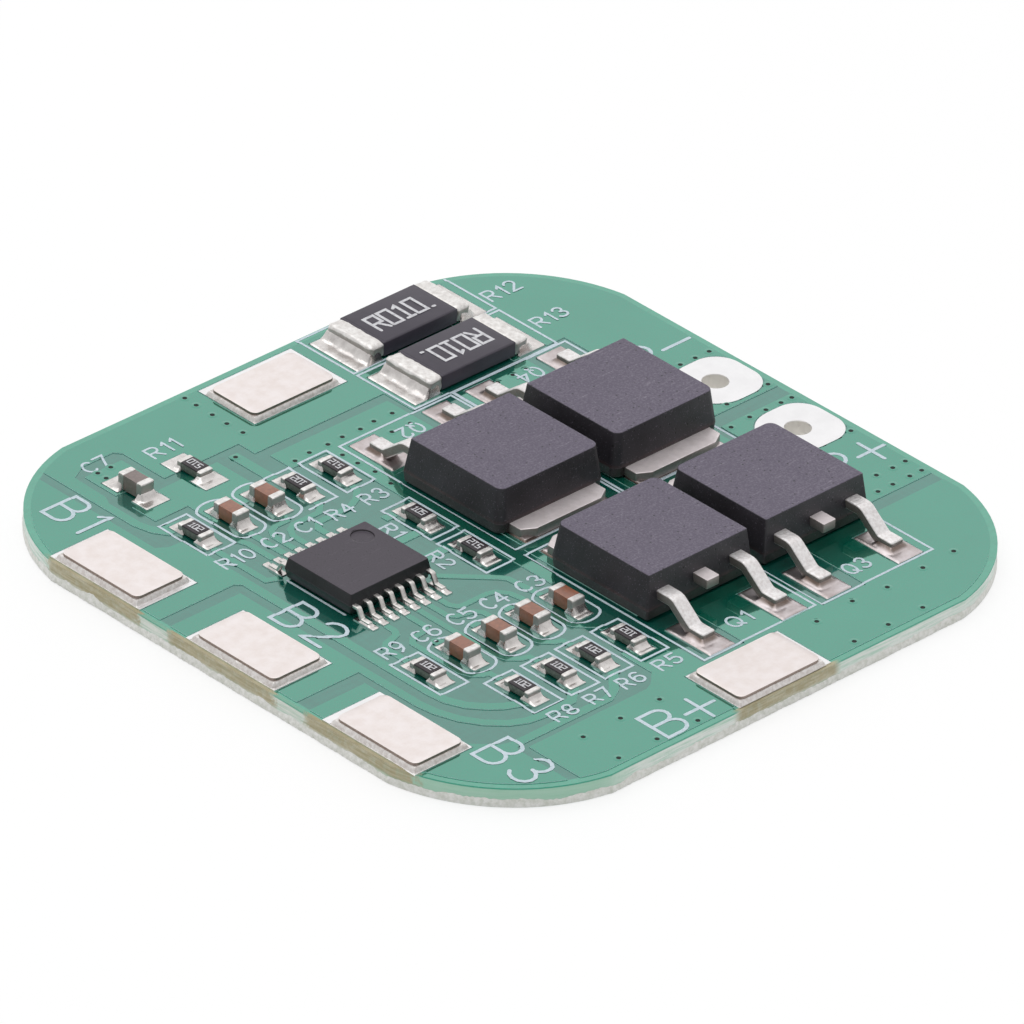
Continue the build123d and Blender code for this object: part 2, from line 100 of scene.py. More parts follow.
class Field:
    """One output socket of a material, with arithmetic written as Python."""

    def __init__(self, recipe: "Recipe", socket: bpy.types.NodeSocket) -> None:
        """Keep the socket and the recipe it belongs to."""
        self.recipe = recipe
        self.socket = socket

    def math(self, operation: str, *others: "Value") -> "Field":
        """Add a Math node with this field as its first value."""
        inputs = dict(enumerate((self, *others)))
        return self.recipe.node("ShaderNodeMath", {"operation": operation}, inputs)

    def __add__(self, other: "Value") -> "Field":
        """Sum."""
        return self.math("ADD", other)

    def __sub__(self, other: "Value") -> "Field":
        """Difference."""
        return self.math("SUBTRACT", other)

    def __mul__(self, other: "Value") -> "Field":
        """Product."""
        return self.math("MULTIPLY", other)

    def __pow__(self, other: "Value") -> "Field":
        """Power."""
        return self.math("POWER", other)

    def __rsub__(self, other: float) -> "Field":
        """Number less this field."""
        return self.recipe.node("ShaderNodeMath", {"operation": "SUBTRACT"}, {0: other, 1: self})

    __radd__ = __add__
    __rmul__ = __mul__

    def __abs__(self) -> "Field":
        """Size without its sign."""
        return self.math("ABSOLUTE")

    def least(self, other: "Value") -> "Field":
        """Smaller of two values."""
        return self.math("MINIMUM", other)

    def greatest(self, other: "Value") -> "Field":
        """Larger of two values."""
        return self.math("MAXIMUM", other)

    def above(self, edge: float, soft: float) -> "Field":
        """Mask that is 1 above an edge and 0 below it.

        Args:
            edge: the value at which the mask is one half.
            soft: half the width of the step.

        Returns:
            A field from 0 to 1.
        """
        return self.recipe.node(
            "ShaderNodeMapRange", {"interpolation_type": "SMOOTHSTEP"},
            {"Value": self, "From Min": edge - soft, "From Max": edge + soft})

    def between(self, low: float, high: float, soft: float) -> "Field":
        """Mask that is 1 between two edges."""
        return self.above(low, soft) * (1 - self.above(high, soft))


Value = Union[float, Field]
Paint = Union[Colour, Field]


class Recipe:
    """Node tree of one material, with its Principled shader."""

    def __init__(self, name: str) -> None:
        """Make the material and the coordinates that every finish starts from."""
        self.material = bpy.data.materials.new(name)
        self.material.use_nodes = True
        self.tree = self.material.node_tree
        self.tree.nodes.clear()
        self.shader = self.tree.nodes.new("ShaderNodeBsdfPrincipled")
        self.output = self.tree.nodes.new("ShaderNodeOutputMaterial")
        self.tree.links.new(self.shader.outputs[0], self.output.inputs[0])
        self._place: Field | None = None

    @classmethod
    def on(cls, tree: bpy.types.NodeTree) -> "Recipe":
        """Recipe that adds its nodes to another tree."""
        recipe = cls.__new__(cls)
        recipe.tree = tree
        recipe._place = None
        return recipe

    def node(self, kind: str, settings: dict, inputs: dict, output: int | str = 0) -> Field:
        """Add any node.

        Args:
            kind: the node's type.
            settings: its own settings, set first.
            inputs: values or fields by socket name or number.
            output: the socket that is wanted.

        Returns:
            That output as a field.
        """
        node = self.tree.nodes.new(kind)
        for key, value in settings.items():
            setattr(node, key, value)
        for key, value in inputs.items():
            self.feed(node.inputs[key], value)
        return Field(self, node.outputs[output])

    def feed(self, socket: bpy.types.NodeSocket, value: Value | Paint) -> None:
        """Set a socket to a number or colour, or link a field to it."""
        if isinstance(value, Field):
            self.tree.links.new(value.socket, socket)
        elif isinstance(value, tuple) and socket.type == "RGBA":
            socket.default_value = (*value, 1)
        else:
            socket.default_value = value

    def place(self) -> Field:
        """Position in millimetres in the board's frame."""
        if self._place is None:
            spot = self.node("ShaderNodeTexCoord", {}, {}, "Object")
            self._place = self.node("ShaderNodeVectorMath", {"operation": "SCALE"},
                                    {0: spot, "Scale": 1 / MM})
        return self._place

    def split(self, vector: Field) -> tuple[Field, Field, Field]:
        """Three parts of a vector."""
        node = self.node("ShaderNodeSeparateXYZ", {}, {0: vector}).socket.node
        return tuple(Field(self, out) for out in node.outputs)

    def facing(self) -> tuple[Field, Field, Field]:
        """Surface direction, true to the mesh."""
        return self.split(self.node("ShaderNodeNewGeometry", {}, {}, "Normal"))

    def grain(self, scale: float, detail: float = 2.0, roughness: float = 0.5,
              stretch: Spot | None = None) -> Field:
        """Noise from 0 to 1.

        Args:
            scale: the number of lumps in a millimetre.
            detail: how many finer layers are added.
            roughness: how strong the finer layers are.
            stretch: how much denser it is along each axis, for streaks and weave.

        Returns:
            The noise as a field.
        """
        where = self.place()
        if stretch:
            where = self.node("ShaderNodeVectorMath", {"operation": "MULTIPLY"},
                              {0: where, 1: stretch})
        return self.node("ShaderNodeTexNoise", {}, {
            "Vector": where, "Scale": scale, "Detail": detail, "Roughness": roughness})

    def pits(self, scale: float, share: float) -> Field:
        """Distance to scattered points, as small round marks.

        Args:
            scale: the number of marks in a millimetre.
            share: the size of a mark as a share of its cell.

        Returns:
            A mask that is 1 inside a mark.
        """
        cell = self.node("ShaderNodeTexVoronoi", {"feature": "F1"},
                         {"Vector": self.place(), "Scale": scale}, "Distance")
        return 1 - cell.above(share, share * 0.4)

    def mix(self, share: Value, low: Paint, high: Paint, blend: str = "MIX") -> Field:
        """Blend of two colours."""
        return self.node("ShaderNodeMix", {"data_type": "RGBA", "blend_type": blend},
                         {0: share, 6: low, 7: high}, 2)

    def bump(self, height: Field, strength: float, distance: float) -> Field:
        """Surface direction that follows a height in millimetres."""
        return self.node("ShaderNodeBump", {}, {
            "Height": height, "Strength": strength, "Distance": distance * MM}, "Normal")

    def finish(self, **sockets: Value | Paint) -> bpy.types.Material:
        """Feed the shader's sockets, with underscores for spaces, and give the material."""
        for key, value in sockets.items():
            self.feed(self.shader.inputs[key.replace("_", " ")], value)
        return self.material


@dataclass(frozen=True)
class Finish:
    """Surface of one kind, labelled with one of the record's material slots."""

    name: str
    slot: str

    def make(self) -> bpy.types.Material:
        """Build the material."""
        raise NotImplementedError


@dataclass(frozen=True)
class MaskFinish(Finish):
    """Clear green lacquer over copper and bare laminate, with the cut edges of the board and painted
    light on the copper's upright walls.
    """

    over_copper: Colour = (0.002, 0.294, 0.19)
    over_laminate: Colour = (0.005, 0.2, 0.15)
    rim: Colour = (0.03, 0.36, 0.235)
    # step: a bright colour painted on the upright walls of the copper relief, painted light that
    # takes away their shade.
    step: Colour = (0.62, 0.98, 0.92)
    core: Colour = tint(235, 241, 236)
    core_green: Colour = tint(154, 206, 180)
    core_burnt: Colour = tint(190, 182, 152)
    core_dark: Colour = tint(156, 146, 110)
    plated: Colour = tint(236, 234, 230)
    hole_x: float = 15.7075
    hole_y: Point = (2.72, -2.68)
    hole_radius: float = 0.68
    rim_width: float = 0.36
    bare_width: float = 0.2
    burnt_left: Point = (-12.4, 11.4)
    burnt_front: Point = (-3.3, 3.0)
    burnt_from: float = -17.0
    burnt_above: float = 0.38
    unburnt: tuple[Point, Point] = ((3.3, 5.2), (-5.6, -3.6))
    smooth_below: float = -10.5
    coat_index: float = 1.95

    def make(self) -> bpy.types.Material:
        """Build the material."""
        r = Recipe(self.name)
        x, y, z = r.split(r.place())
        _, _, up = r.facing()
        over_x = (abs(x) - CORNER_CENTRE).greatest(0.0)
        over_y = (abs(y) - CORNER_CENTRE).greatest(0.0)
        corner = (over_x * over_x + over_y * over_y) ** 0.5 - CORNER_RADIUS
        inside = 0.0 - corner.greatest(abs(x).greatest(abs(y)) - BOARD_HALF)
        copper = z.above((BOARD_TOP + COPPER_TOP) / 2, 0.012)
        cloud = r.grain(0.35, 2.0, 0.5)
        weave = (r.grain(1.0, 1.0, 0.5, (0.5, 4.5, 1.0))
                 + r.grain(1.0, 1.0, 0.5, (4.5, 0.5, 1.0))) * 0.5
        fine = r.grain(9.0, 2.0, 0.6)
        coated = r.mix(copper, self.over_laminate, self.over_copper)
        coated = r.mix((1 - inside.above(self.rim_width, 0.05)) * (1 - copper), coated, self.rim)
        shade = 0.92 + cloud * 0.14 + (weave - 0.5) * (1 - copper) * 0.45 + (fine - 0.5) * 0.06
        grey = r.node("ShaderNodeCombineXYZ", {}, {0: shade, 1: shade, 2: shade})
        coated = r.mix(1.0, coated, grey, "MULTIPLY")
        upright = 1 - abs(up).above(0.5, 0.1)
        # Painted light: the upright walls of the copper relief take the bright step colour in place
        # of their shade.
        wall = z.between(BOARD_TOP + 0.002, COPPER_TOP - 0.002, 0.002) * upright
        coated = r.mix(wall, coated, self.step)

        streak = r.grain(1.0, 3.0, 0.65, (0.6, 0.6, 9.0))
        fleck = r.grain(3.2, 3.0, 0.7)
        wander = y + (fleck - 0.5) * 1.4
        burnt = wander.between(*self.burnt_left, 0.4) * (1 - x.above(self.burnt_from, 0.4))
        first_gap, second_gap = (wander.between(*gap, 0.3) for gap in self.unburnt)
        burnt = (burnt * (1 - first_gap.greatest(second_gap) * 0.85)).greatest(
            x.between(*self.burnt_front, 0.3) * (1 - y.above(self.burnt_from, 0.4)))
        smooth_corner = ((1 - x.above(self.smooth_below, 1.5))
                         * (1 - y.above(self.smooth_below, 1.5)))
        edge = r.mix(streak.above(0.56, 0.2) * 0.7, self.core, self.core_green)
        edge = r.mix(smooth_corner * 0.8, edge, self.core_green)
        low = z.above(self.burnt_above, 0.16)
        scorched = r.mix(streak.above(0.5, 0.2) * 0.8, self.core_burnt, self.core_dark)
        edge = r.mix(burnt * low * (0.5 + fleck * 0.9).least(1.0), edge, scorched)
        edge = r.mix(z.above(0.93, 0.04) * (1 - burnt), edge, self.rim)
        side = upright * (1 - z.above(BOARD_TOP + 0.001, 0.001))
        bare_rim = (1 - inside.above(self.bare_width, 0.03)) * burnt * (1 - upright)
        paint = r.mix(side, coated, edge)
        paint = r.mix(bare_rim, paint, scorched)

        holes: Field | None = None
        for hole_y in self.hole_y:
            dx, dy = x - self.hole_x, y - hole_y
            ring = 1 - ((dx * dx + dy * dy) ** 0.5).above(self.hole_radius, 0.01)
            holes = ring if holes is None else holes.greatest(ring)
        paint = r.mix(holes, paint, self.plated)
        lacquer = (1 - side) * (1 - holes) * (1 - bare_rim) * (1 - wall)
        ripple = fine * 0.0012 + weave * (1 - copper) * 0.003 + fleck * side * 0.06
        return r.finish(
            Base_Color=paint, IOR=1.5,
            Coat_Weight=lacquer, Coat_Roughness=0.03, Coat_IOR=self.coat_index,
            Metallic=(lacquer * (0.6 + copper * 0.1)).greatest(holes * 0.9),
            Roughness=(0.06 + cloud * 0.03 + (side + bare_rim + wall).least(1.0) * 0.5
                       + (1 - copper) * lacquer * 0.05 + holes * 0.2),
            Normal=r.bump(ripple, 0.6, 1.0))


@dataclass(frozen=True)
class MetalFinish(Finish):
    """Plated or soldered metal with clouds, specks, fine scratches and painted shade on steep faces.
    """

    colour: Colour
    dark: Colour
    roughness: float
    cloud_scale: float = 0.8
    speck_scale: float = 5.0
    speck_share: float = 0.09
    bump: float = 0.004
    flow: float = 0.0
    # side: painted shade, the colour that steep faces take; steep sets how upright they must be.
    side: Colour | None = None
    steep: float = 0.55
    metallic: float = 1.0

    def make(self) -> bpy.types.Material:
        """Build the material."""
        r = Recipe(self.name)
        _, _, up = r.facing()
        cloud = r.grain(self.cloud_scale, 3.0, 0.6)
        fine = r.grain(11.0, 2.0, 0.6)
        scratch = r.grain(1.0, 2.0, 0.5, (1.2, 14.0, 2.0))
        speck = r.pits(self.speck_scale, self.speck_share)
        paint = r.mix(cloud.above(0.5, 0.25) * 0.55 + fine * 0.15, self.colour, self.dark)
        paint = r.mix(speck * 0.45, paint, self.dark)
        # Painted shade: steep faces are mixed towards the side colour.
        if self.side:
            paint = r.mix((1 - abs(up).above(self.steep, 0.15)) * (0.75 + fine * 0.25), paint,
                          self.side)
        height = (fine * 0.5 + scratch * 0.35) * self.bump + cloud * self.flow - speck * self.bump
        return r.finish(
            Base_Color=paint, Metallic=(1.0 - speck * 0.3) * self.metallic,
            Roughness=self.roughness + cloud * 0.12 + (scratch - 0.5) * 0.1,
            Normal=r.bump(height, 0.8, 1.0))


@dataclass(frozen=True)
class MouldFinish(Finish):
    """Black moulding compound: top painted light, sides painted shade, fine pits, scratches and pale
    flecks.
    """

    # top and side: a lit and a shaded copy of one black compound, painted light on the top and
    # painted shade on the sides.
    top: Colour
    side: Colour
    fleck: Colour
    roughness: float
    pit_scale: float
    pit_depth: float
    stain: Colour
    stain_height: Point

    def make(self) -> bpy.types.Material:
        """Build the material."""
        r = Recipe(self.name)
        _, _, z = r.split(r.place())
        _, _, up = r.facing()
        level = up.above(0.75, 0.2)
        fine = r.grain(self.pit_scale, 3.0, 0.7)
        cloud = r.grain(0.5, 2.0, 0.5)
        flecks = r.grain(self.pit_scale * 1.7, 1.0, 0.5).above(0.7, 0.04)
        pit = r.pits(self.pit_scale * 0.3, 0.13)
        scratch = r.grain(1.0, 2.0, 0.6, (0.9, 7.0, 3.0)).above(0.64, 0.05)
        # Painted light and shade: faces that look up take the lit top colour, the rest the shaded
        # side colour.
        paint = r.mix(level, self.side, self.top)
        stain = z.between(*self.stain_height, 0.06) * (1 - level) * (cloud * 1.6 - 0.4).least(1.0)
        paint = r.mix(stain.greatest(0.0) * 0.5, paint, self.stain)
        mottle = (fine.above(0.5, 0.2) - 0.5) * level * 0.65
        worn = (flecks * 0.45 + cloud * 0.2 + mottle + scratch * level * 0.25).least(1.0)
        paint = r.mix(worn.greatest(0.0), paint, self.fleck)
        paint = r.mix(pit * 0.75, paint, (0.006, 0.006, 0.006))
        height = (fine * self.pit_depth - pit * self.pit_depth * 1.2
                  - scratch * level * self.pit_depth * 0.3) * (1 - level * 0.6)
        return r.finish(
            Base_Color=paint, IOR=1.52,
            Roughness=self.roughness + (fine - 0.5) * 0.15 - scratch * 0.06,
            Normal=r.bump(height, 0.7, 1.0))


@dataclass(frozen=True)
class CeramicFinish(Finish):
    """Fired body of a chip part, with a shade that drifts and small grains."""

    colour: Colour
    deep: Colour
    roughness: float
    scale: float = 6.0
    index: float = 1.5

    def make(self) -> bpy.types.Material:
        """Build the material."""
        r = Recipe(self.name)
        grain = r.grain(self.scale, 3.0, 0.65)
        layer = r.grain(1.0, 2.0, 0.5, (2.0, 2.0, 22.0))
        paint = r.mix(grain.above(0.5, 0.25) * 0.7 + layer * 0.2, self.colour, self.deep)
        return r.finish(
            Base_Color=paint, IOR=self.index, Roughness=self.roughness + grain * 0.15,
            Normal=r.bump(grain * 0.006 + layer * 0.003, 0.7, 1.0))


@dataclass(frozen=True)
class GlazeFinish(Finish):
    """Smooth overcoat of a resistor, thin at its rim."""

    colour: Colour
    sheen: Colour
    roughness: float

    def make(self) -> bpy.types.Material:
        """Build the material."""
        r = Recipe(self.name)
        cloud = r.grain(1.6, 2.0, 0.5)
        fine = r.grain(14.0, 2.0, 0.6)
        paint = r.mix(cloud * 0.5 + fine * 0.2, self.colour, self.sheen)
        return r.finish(
            Base_Color=paint, IOR=1.5, Roughness=self.roughness + fine * 0.12,
            Normal=r.bump(fine * 0.002 + cloud * 0.008, 0.6, 1.0))


@dataclass(frozen=True)
class InkFinish(Finish):
    """Printed ink, a little broken at small scale."""

    colour: Colour
    thin: Colour
    roughness: float = 0.5

    def make(self) -> bpy.types.Material:
        """Build the material."""
        r = Recipe(self.name)
        wear = r.grain(5.0, 3.0, 0.7)
        paint = r.mix(wear.above(0.55, 0.16) * 0.6, self.colour, self.thin)
        return r.finish(Base_Color=paint, Roughness=self.roughness + wear * 0.15,
                        Normal=r.bump(wear * 0.004, 0.6, 1.0))


MASK = MaskFinish("coated_board", "solder_mask")
TIN = MetalFinish("tinned_land", "tinned_copper", tint(253, 252, 253), tint(238, 237, 238), 0.3)
# The nickel's side colour is a painted brown reflection of the board's edge and painted shade on the
# sheet's steep faces.
NICKEL = MetalFinish("nickel_sheet", "nickel", tint(247, 240, 239), tint(233, 222, 217), 0.42,
                     cloud_scale=1.6, speck_scale=2.6, speck_share=0.07, bump=0.006,
                     side=tint(132, 116, 106))
SOLDER = MetalFinish("solder_pool", "solder", tint(243, 239, 236), tint(190, 184, 182), 0.18,
                     cloud_scale=1.8, speck_share=0.06, bump=0.005, flow=0.025)
# The dish's side colour is painted shade on the steep solder round each foot.
DULL_SOLDER = MetalFinish("solder_dish", "solder", tint(228, 220, 222), tint(160, 144, 138), 0.26,
                          cloud_scale=1.2, speck_share=0.04, bump=0.003, flow=0.02,
                          side=tint(112, 94, 82), steep=0.84)
BED_SOLDER = MetalFinish("solder_bed", "solder", tint(250, 247, 245), tint(192, 181, 175), 0.4,
                         cloud_scale=5.0, speck_share=0.06, bump=0.008, flow=0.02, metallic=0.85)
# The plate's side colour is painted shade on its steep faces.
PLATE = MetalFinish("drain_plate", "tinned_leadframe", tint(249, 241, 242), tint(214, 205, 205),
                    0.5, cloud_scale=1.6, bump=0.006, side=tint(150, 142, 138), metallic=0.85)
# The lead's side colour is painted shade on the upright sides of the strip.
LEAD = MetalFinish("formed_lead", "tinned_leadframe", tint(255, 253, 253), tint(212, 204, 202), 0.4,
                   cloud_scale=6.0, bump=0.016, flow=0.03, side=tint(134, 124, 118), steep=0.25,
                   metallic=0.7)
FINE_LEAD = MetalFinish("fine_lead", "tinned_leadframe", tint(240, 237, 234),
                        tint(206, 200, 196), 0.28, cloud_scale=4.0, bump=0.003)
# The end metal's side colour is painted shade on its upright faces.
CAP = MetalFinish("end_metal", "end_cap", tint(253, 251, 249), tint(200, 194, 190), 0.4,
                  cloud_scale=4.0, speck_share=0.12, bump=0.012, flow=0.025,
                  side=tint(176, 170, 166), steep=0.3, metallic=0.85)
# The top colours of both cases are painted light on the black compound, and their side colours
# painted shade.
MOULD = MouldFinish("moulded_case", "mould_compound", tint(88, 80, 99), tint(15, 13, 15),
                    tint(138, 131, 145), 0.48, 9.0, 0.012, tint(92, 54, 36), (1.15, 1.75))
CHIP_MOULD = MouldFinish("controller_case", "controller_mould", tint(58, 50, 62), tint(15, 14, 16),
                         tint(80, 72, 84), 0.4, 14.0, 0.004, tint(40, 34, 32), (1.5, 1.62))
GLAZE = GlazeFinish("resistor_overcoat", "resistor_glaze", tint(38, 31, 36), tint(58, 49, 55), 0.3)
ALUMINA = CeramicFinish("resistor_ceramic", "resistor_glaze", tint(118, 124, 116),
                        tint(70, 78, 72), 0.45)
SHUNT = GlazeFinish("shunt_overcoat", "shunt_coating", tint(56, 51, 62), tint(82, 76, 89), 0.38)
BROWN = CeramicFinish("capacitor_body", "capacitor_ceramic", tint(158, 90, 52),
                      tint(118, 64, 36), 0.3, index=2.1)
GREY_BROWN = CeramicFinish("capacitor_dark_body", "capacitor_ceramic", tint(126, 104, 98),
                           tint(86, 70, 66), 0.3, index=2.2)
LEGEND = InkFinish("legend_ink", "solder_mask", tint(212, 226, 236), tint(172, 200, 204))
CODE = InkFinish("code_ink", "resistor_glaze", tint(222, 222, 226), tint(170, 168, 174))
# The via pit colours are painted shade of the holes, which are not modelled.
VIA_PIT = GlazeFinish("via_pit", "solder_mask", tint(3, 20, 14), tint(8, 32, 24), 0.6)
FIBRE = CeramicFinish("broken_fibre", "solder_mask", tint(250, 249, 247), tint(208, 211, 200),
                      0.6, 4.0)


@dataclass(frozen=True)
class Placement:
    """Place of a part on the board, and its turn about the vertical in degrees."""

    x: float = 0.0
    y: float = 0.0
    turn: float = 0.0

    def point(self, along: float, across: float) -> Point:
        """Board position of a point of the part."""
        angle = math.radians(self.turn)
        return (self.x + along * math.cos(angle) - across * math.sin(angle),
                self.y + along * math.sin(angle) + across * math.cos(angle))


@dataclass
class Skin:
    """Points and faces of one piece, gathered in millimetres."""

    points: list[Spot] = field(default_factory=list)
    faces: list[tuple[int, ...]] = field(default_factory=list)
    paints: list[int] = field(default_factory=list)

    def add(self, points: Iterable[Spot], faces: Iterable[Sequence[int]], paint: int = 0) -> None:
        """Add points and the faces between them.

        Args:
            points: the new points.
            faces: corner numbers, counted from the first new point.
            paint: the number of the faces' material.
        """
        start = len(self.points)
        self.points += points
        for face in faces:
            self.faces.append(tuple(start + corner for corner in face))
            self.paints.append(paint)

    def sheet(self, rows: Sequence[Sequence[Spot]], paint: int = 0) -> None:
        """Add a surface through rows of points of one length."""
        across = len(rows[0])
        faces = [(i * across + j, (i + 1) * across + j,
                  (i + 1) * across + j + 1, i * across + j + 1)
                 for i in range(len(rows) - 1) for j in range(across - 1)]
        self.add([point for row in rows for point in row], faces, paint)

    def loft(self, rings: Sequence[Sequence[Spot]], low_lid: bool = True,
             high_lid: bool = True) -> None:
        """Add a closed skin through rings of points of one length.

        Args:
            rings: the rings in order, each counter-clockwise as seen from the last.
            low_lid: whether the first ring is closed.
            high_lid: whether the last ring is closed.
        """
        around = len(rings[0])
        faces = [(i * around + j, i * around + (j + 1) % around,
                  (i + 1) * around + (j + 1) % around, (i + 1) * around + j)
                 for i in range(len(rings) - 1) for j in range(around)]
        if low_lid:
            faces.append(tuple(reversed(range(around))))
        if high_lid:
            faces.append(tuple(range((len(rings) - 1) * around, len(rings) * around)))
        self.add([point for ring in rings for point in ring], faces)

    def _take(self, mesh: bmesh.types.BMesh, points: Iterable[Spot]) -> None:
        """Add the faces of a mesh between points of its own order, and free it."""
        mesh.verts.index_update()
        self.add(points, [[v.index for v in face.verts] for face in mesh.faces])
        mesh.free()

    def block(self, at: Placement, size: Point, low: float, high: float, round_by: float) -> None:
        """Add a block whose upright and upper edges are rounded."""
        mesh = bmesh.new()
        bmesh.ops.create_cube(mesh, size=1.0)
        for vertex in mesh.verts:
            vertex.co = Vector((vertex.co.x * size[0], vertex.co.y * size[1],
                                low if vertex.co.z < 0 else high))
        edges = [e for e in mesh.edges if any(v.co.z > low + 1e-6 for v in e.verts)]
        bmesh.ops.bevel(mesh, geom=edges, offset=round_by, segments=3, profile=0.5, affect="EDGES")
        self._take(mesh, [(*at.point(v.co.x, v.co.y), v.co.z) for v in mesh.verts])

    def worn(self, at: Placement, low: Spot, high: Spot, round_by: float, rough: float,
             cuts: int = 9) -> None:
        """Add a block with full round edges and an uneven surface.

        Args:
            at: the part's place.
            low: its lowest corner in the part's own frame.
            high: its highest corner.
            round_by: the radius of its edges.
            rough: how far its surface wanders.
            cuts: how finely each face is divided.
        """
        mesh = bmesh.new()
        bmesh.ops.create_cube(mesh, size=1.0)
        bmesh.ops.subdivide_edges(mesh, edges=mesh.edges[:], cuts=cuts, use_grid_fill=True)
        middle, half = (Vector(low) + Vector(high)) / 2, (Vector(high) - Vector(low)) / 2
        core = Vector(max(0.0, h - round_by) for h in half)
        points = []
        for vertex in mesh.verts:
            place = Vector(2 * c * h for c, h in zip(vertex.co, half))
            inner = Vector(max(-c, min(c, p)) for p, c in zip(place, core))
            way = (place - inner).normalized()
            wander = noise.noise((place + Vector((at.x, at.y, 0)) * 3.7) * 3.2)
            spot = middle + inner + way * (round_by + rough * wander - rough * 0.5)
            points.append((*at.point(spot.x, spot.y), spot.z))
        self._take(mesh, points)


class Dresser:
    """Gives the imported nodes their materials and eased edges, and makes the pieces around them."""

    def __init__(self, nodes: dict[str, bpy.types.Object]) -> None:
        """Keep the nodes, and start with no material."""
        self.nodes = nodes
        self._made: dict[str, bpy.types.Material] = {}

    def material(self, finish: Finish) -> bpy.types.Material:
        """Material of a finish, made once and then shared."""
        if finish.name not in self._made:
            self._made[finish.name] = finish.make()
        return self._made[finish.name]

    def dress(self, name: str, finish: Finish, ease: float = 0.0) -> None:
        """Put a finish on a node.

        Args:
            name: the node.
            finish: its finish.
            ease: the width in millimetres by which its edges are rounded.
        """
        node = self.nodes[name]
        node.data.materials.clear()
        node.data.materials.append(self.material(finish))
        if ease:
            weld = node.modifiers.new("weld", "WELD")
            weld.merge_threshold = 0.0005 * MM
            bevel = node.modifiers.new("ease", "BEVEL")
            bevel.width = ease * MM
            bevel.segments = 2
            bevel.limit_method = "ANGLE"
            bevel.angle_limit = math.radians(28)
            for face in node.data.polygons:
                face.use_smooth = True
            node.modifiers.new("soften", "WEIGHTED_NORMAL").keep_sharp = True
        log.info("%s dressed as %s", name, finish.name)

    def make(self, name: str, skin: Skin, *finishes: Finish, smooth: float = 35.0,
             instead_of: Sequence[str] = ()) -> None:
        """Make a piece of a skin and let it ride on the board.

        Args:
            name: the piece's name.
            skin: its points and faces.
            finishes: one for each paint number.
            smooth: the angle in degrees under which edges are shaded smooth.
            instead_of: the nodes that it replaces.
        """
        mesh = bpy.data.meshes.new(name)
        mesh.from_pydata([Vector(p) * MM for p in skin.points], [], skin.faces)
        for finish in finishes:
            mesh.materials.append(self.material(finish))
        mesh.polygons.foreach_set("material_index", skin.paints)
        mesh.polygons.foreach_set("use_smooth", [True] * len(mesh.polygons))
        mesh.update()
        mesh.set_sharp_from_angle(angle=math.radians(smooth))
        made = bpy.data.objects.new(name, mesh)
        bpy.context.scene.collection.objects.link(made)
        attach(made, "root")
        if instead_of:
            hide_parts(*instead_of)
        log.info("%s: %d faces", name, len(mesh.polygons))


class Ground:
    """Surface of the bare board, so that print and dots can lie on it."""

    probe_from: float = 5.0

    def __init__(self, board: bpy.types.Object) -> None:
        """Read the board's mesh."""
        mesh = board.data
        self.tree = BVHTree.FromPolygons([v.co / MM for v in mesh.vertices],
                                         [tuple(p.vertices) for p in mesh.polygons])

    def height(self, x: float, y: float) -> float:
        """Height of the board's top at a place."""
        hit = self.tree.ray_cast(Vector((x, y, self.probe_from)), Vector((0, 0, -1)))[0]
        return BOARD_TOP if hit is None or hit.z < BOARD_TOP / 2 else hit.z

    def cover(self, x: float, y: float, reach: float = 0.07) -> float:
        """Height that clears the board's top near a place."""
        return max(self.height(x + dx * reach, y + dy * reach)
                   for dx, dy in ((0, 0), (1, 0), (-1, 0), (0, 1), (0, -1)))


def arc(x: float, y: float, wide: float, tall: float, first: float, last: float,
        count: int = 8) -> list[Point]:
    """Points of an elliptical arc between two angles in degrees."""
    return [(x + wide * math.cos(math.radians(first + (last - first) * i / count)),
             y + tall * math.sin(math.radians(first + (last - first) * i / count)))
            for i in range(count + 1)]


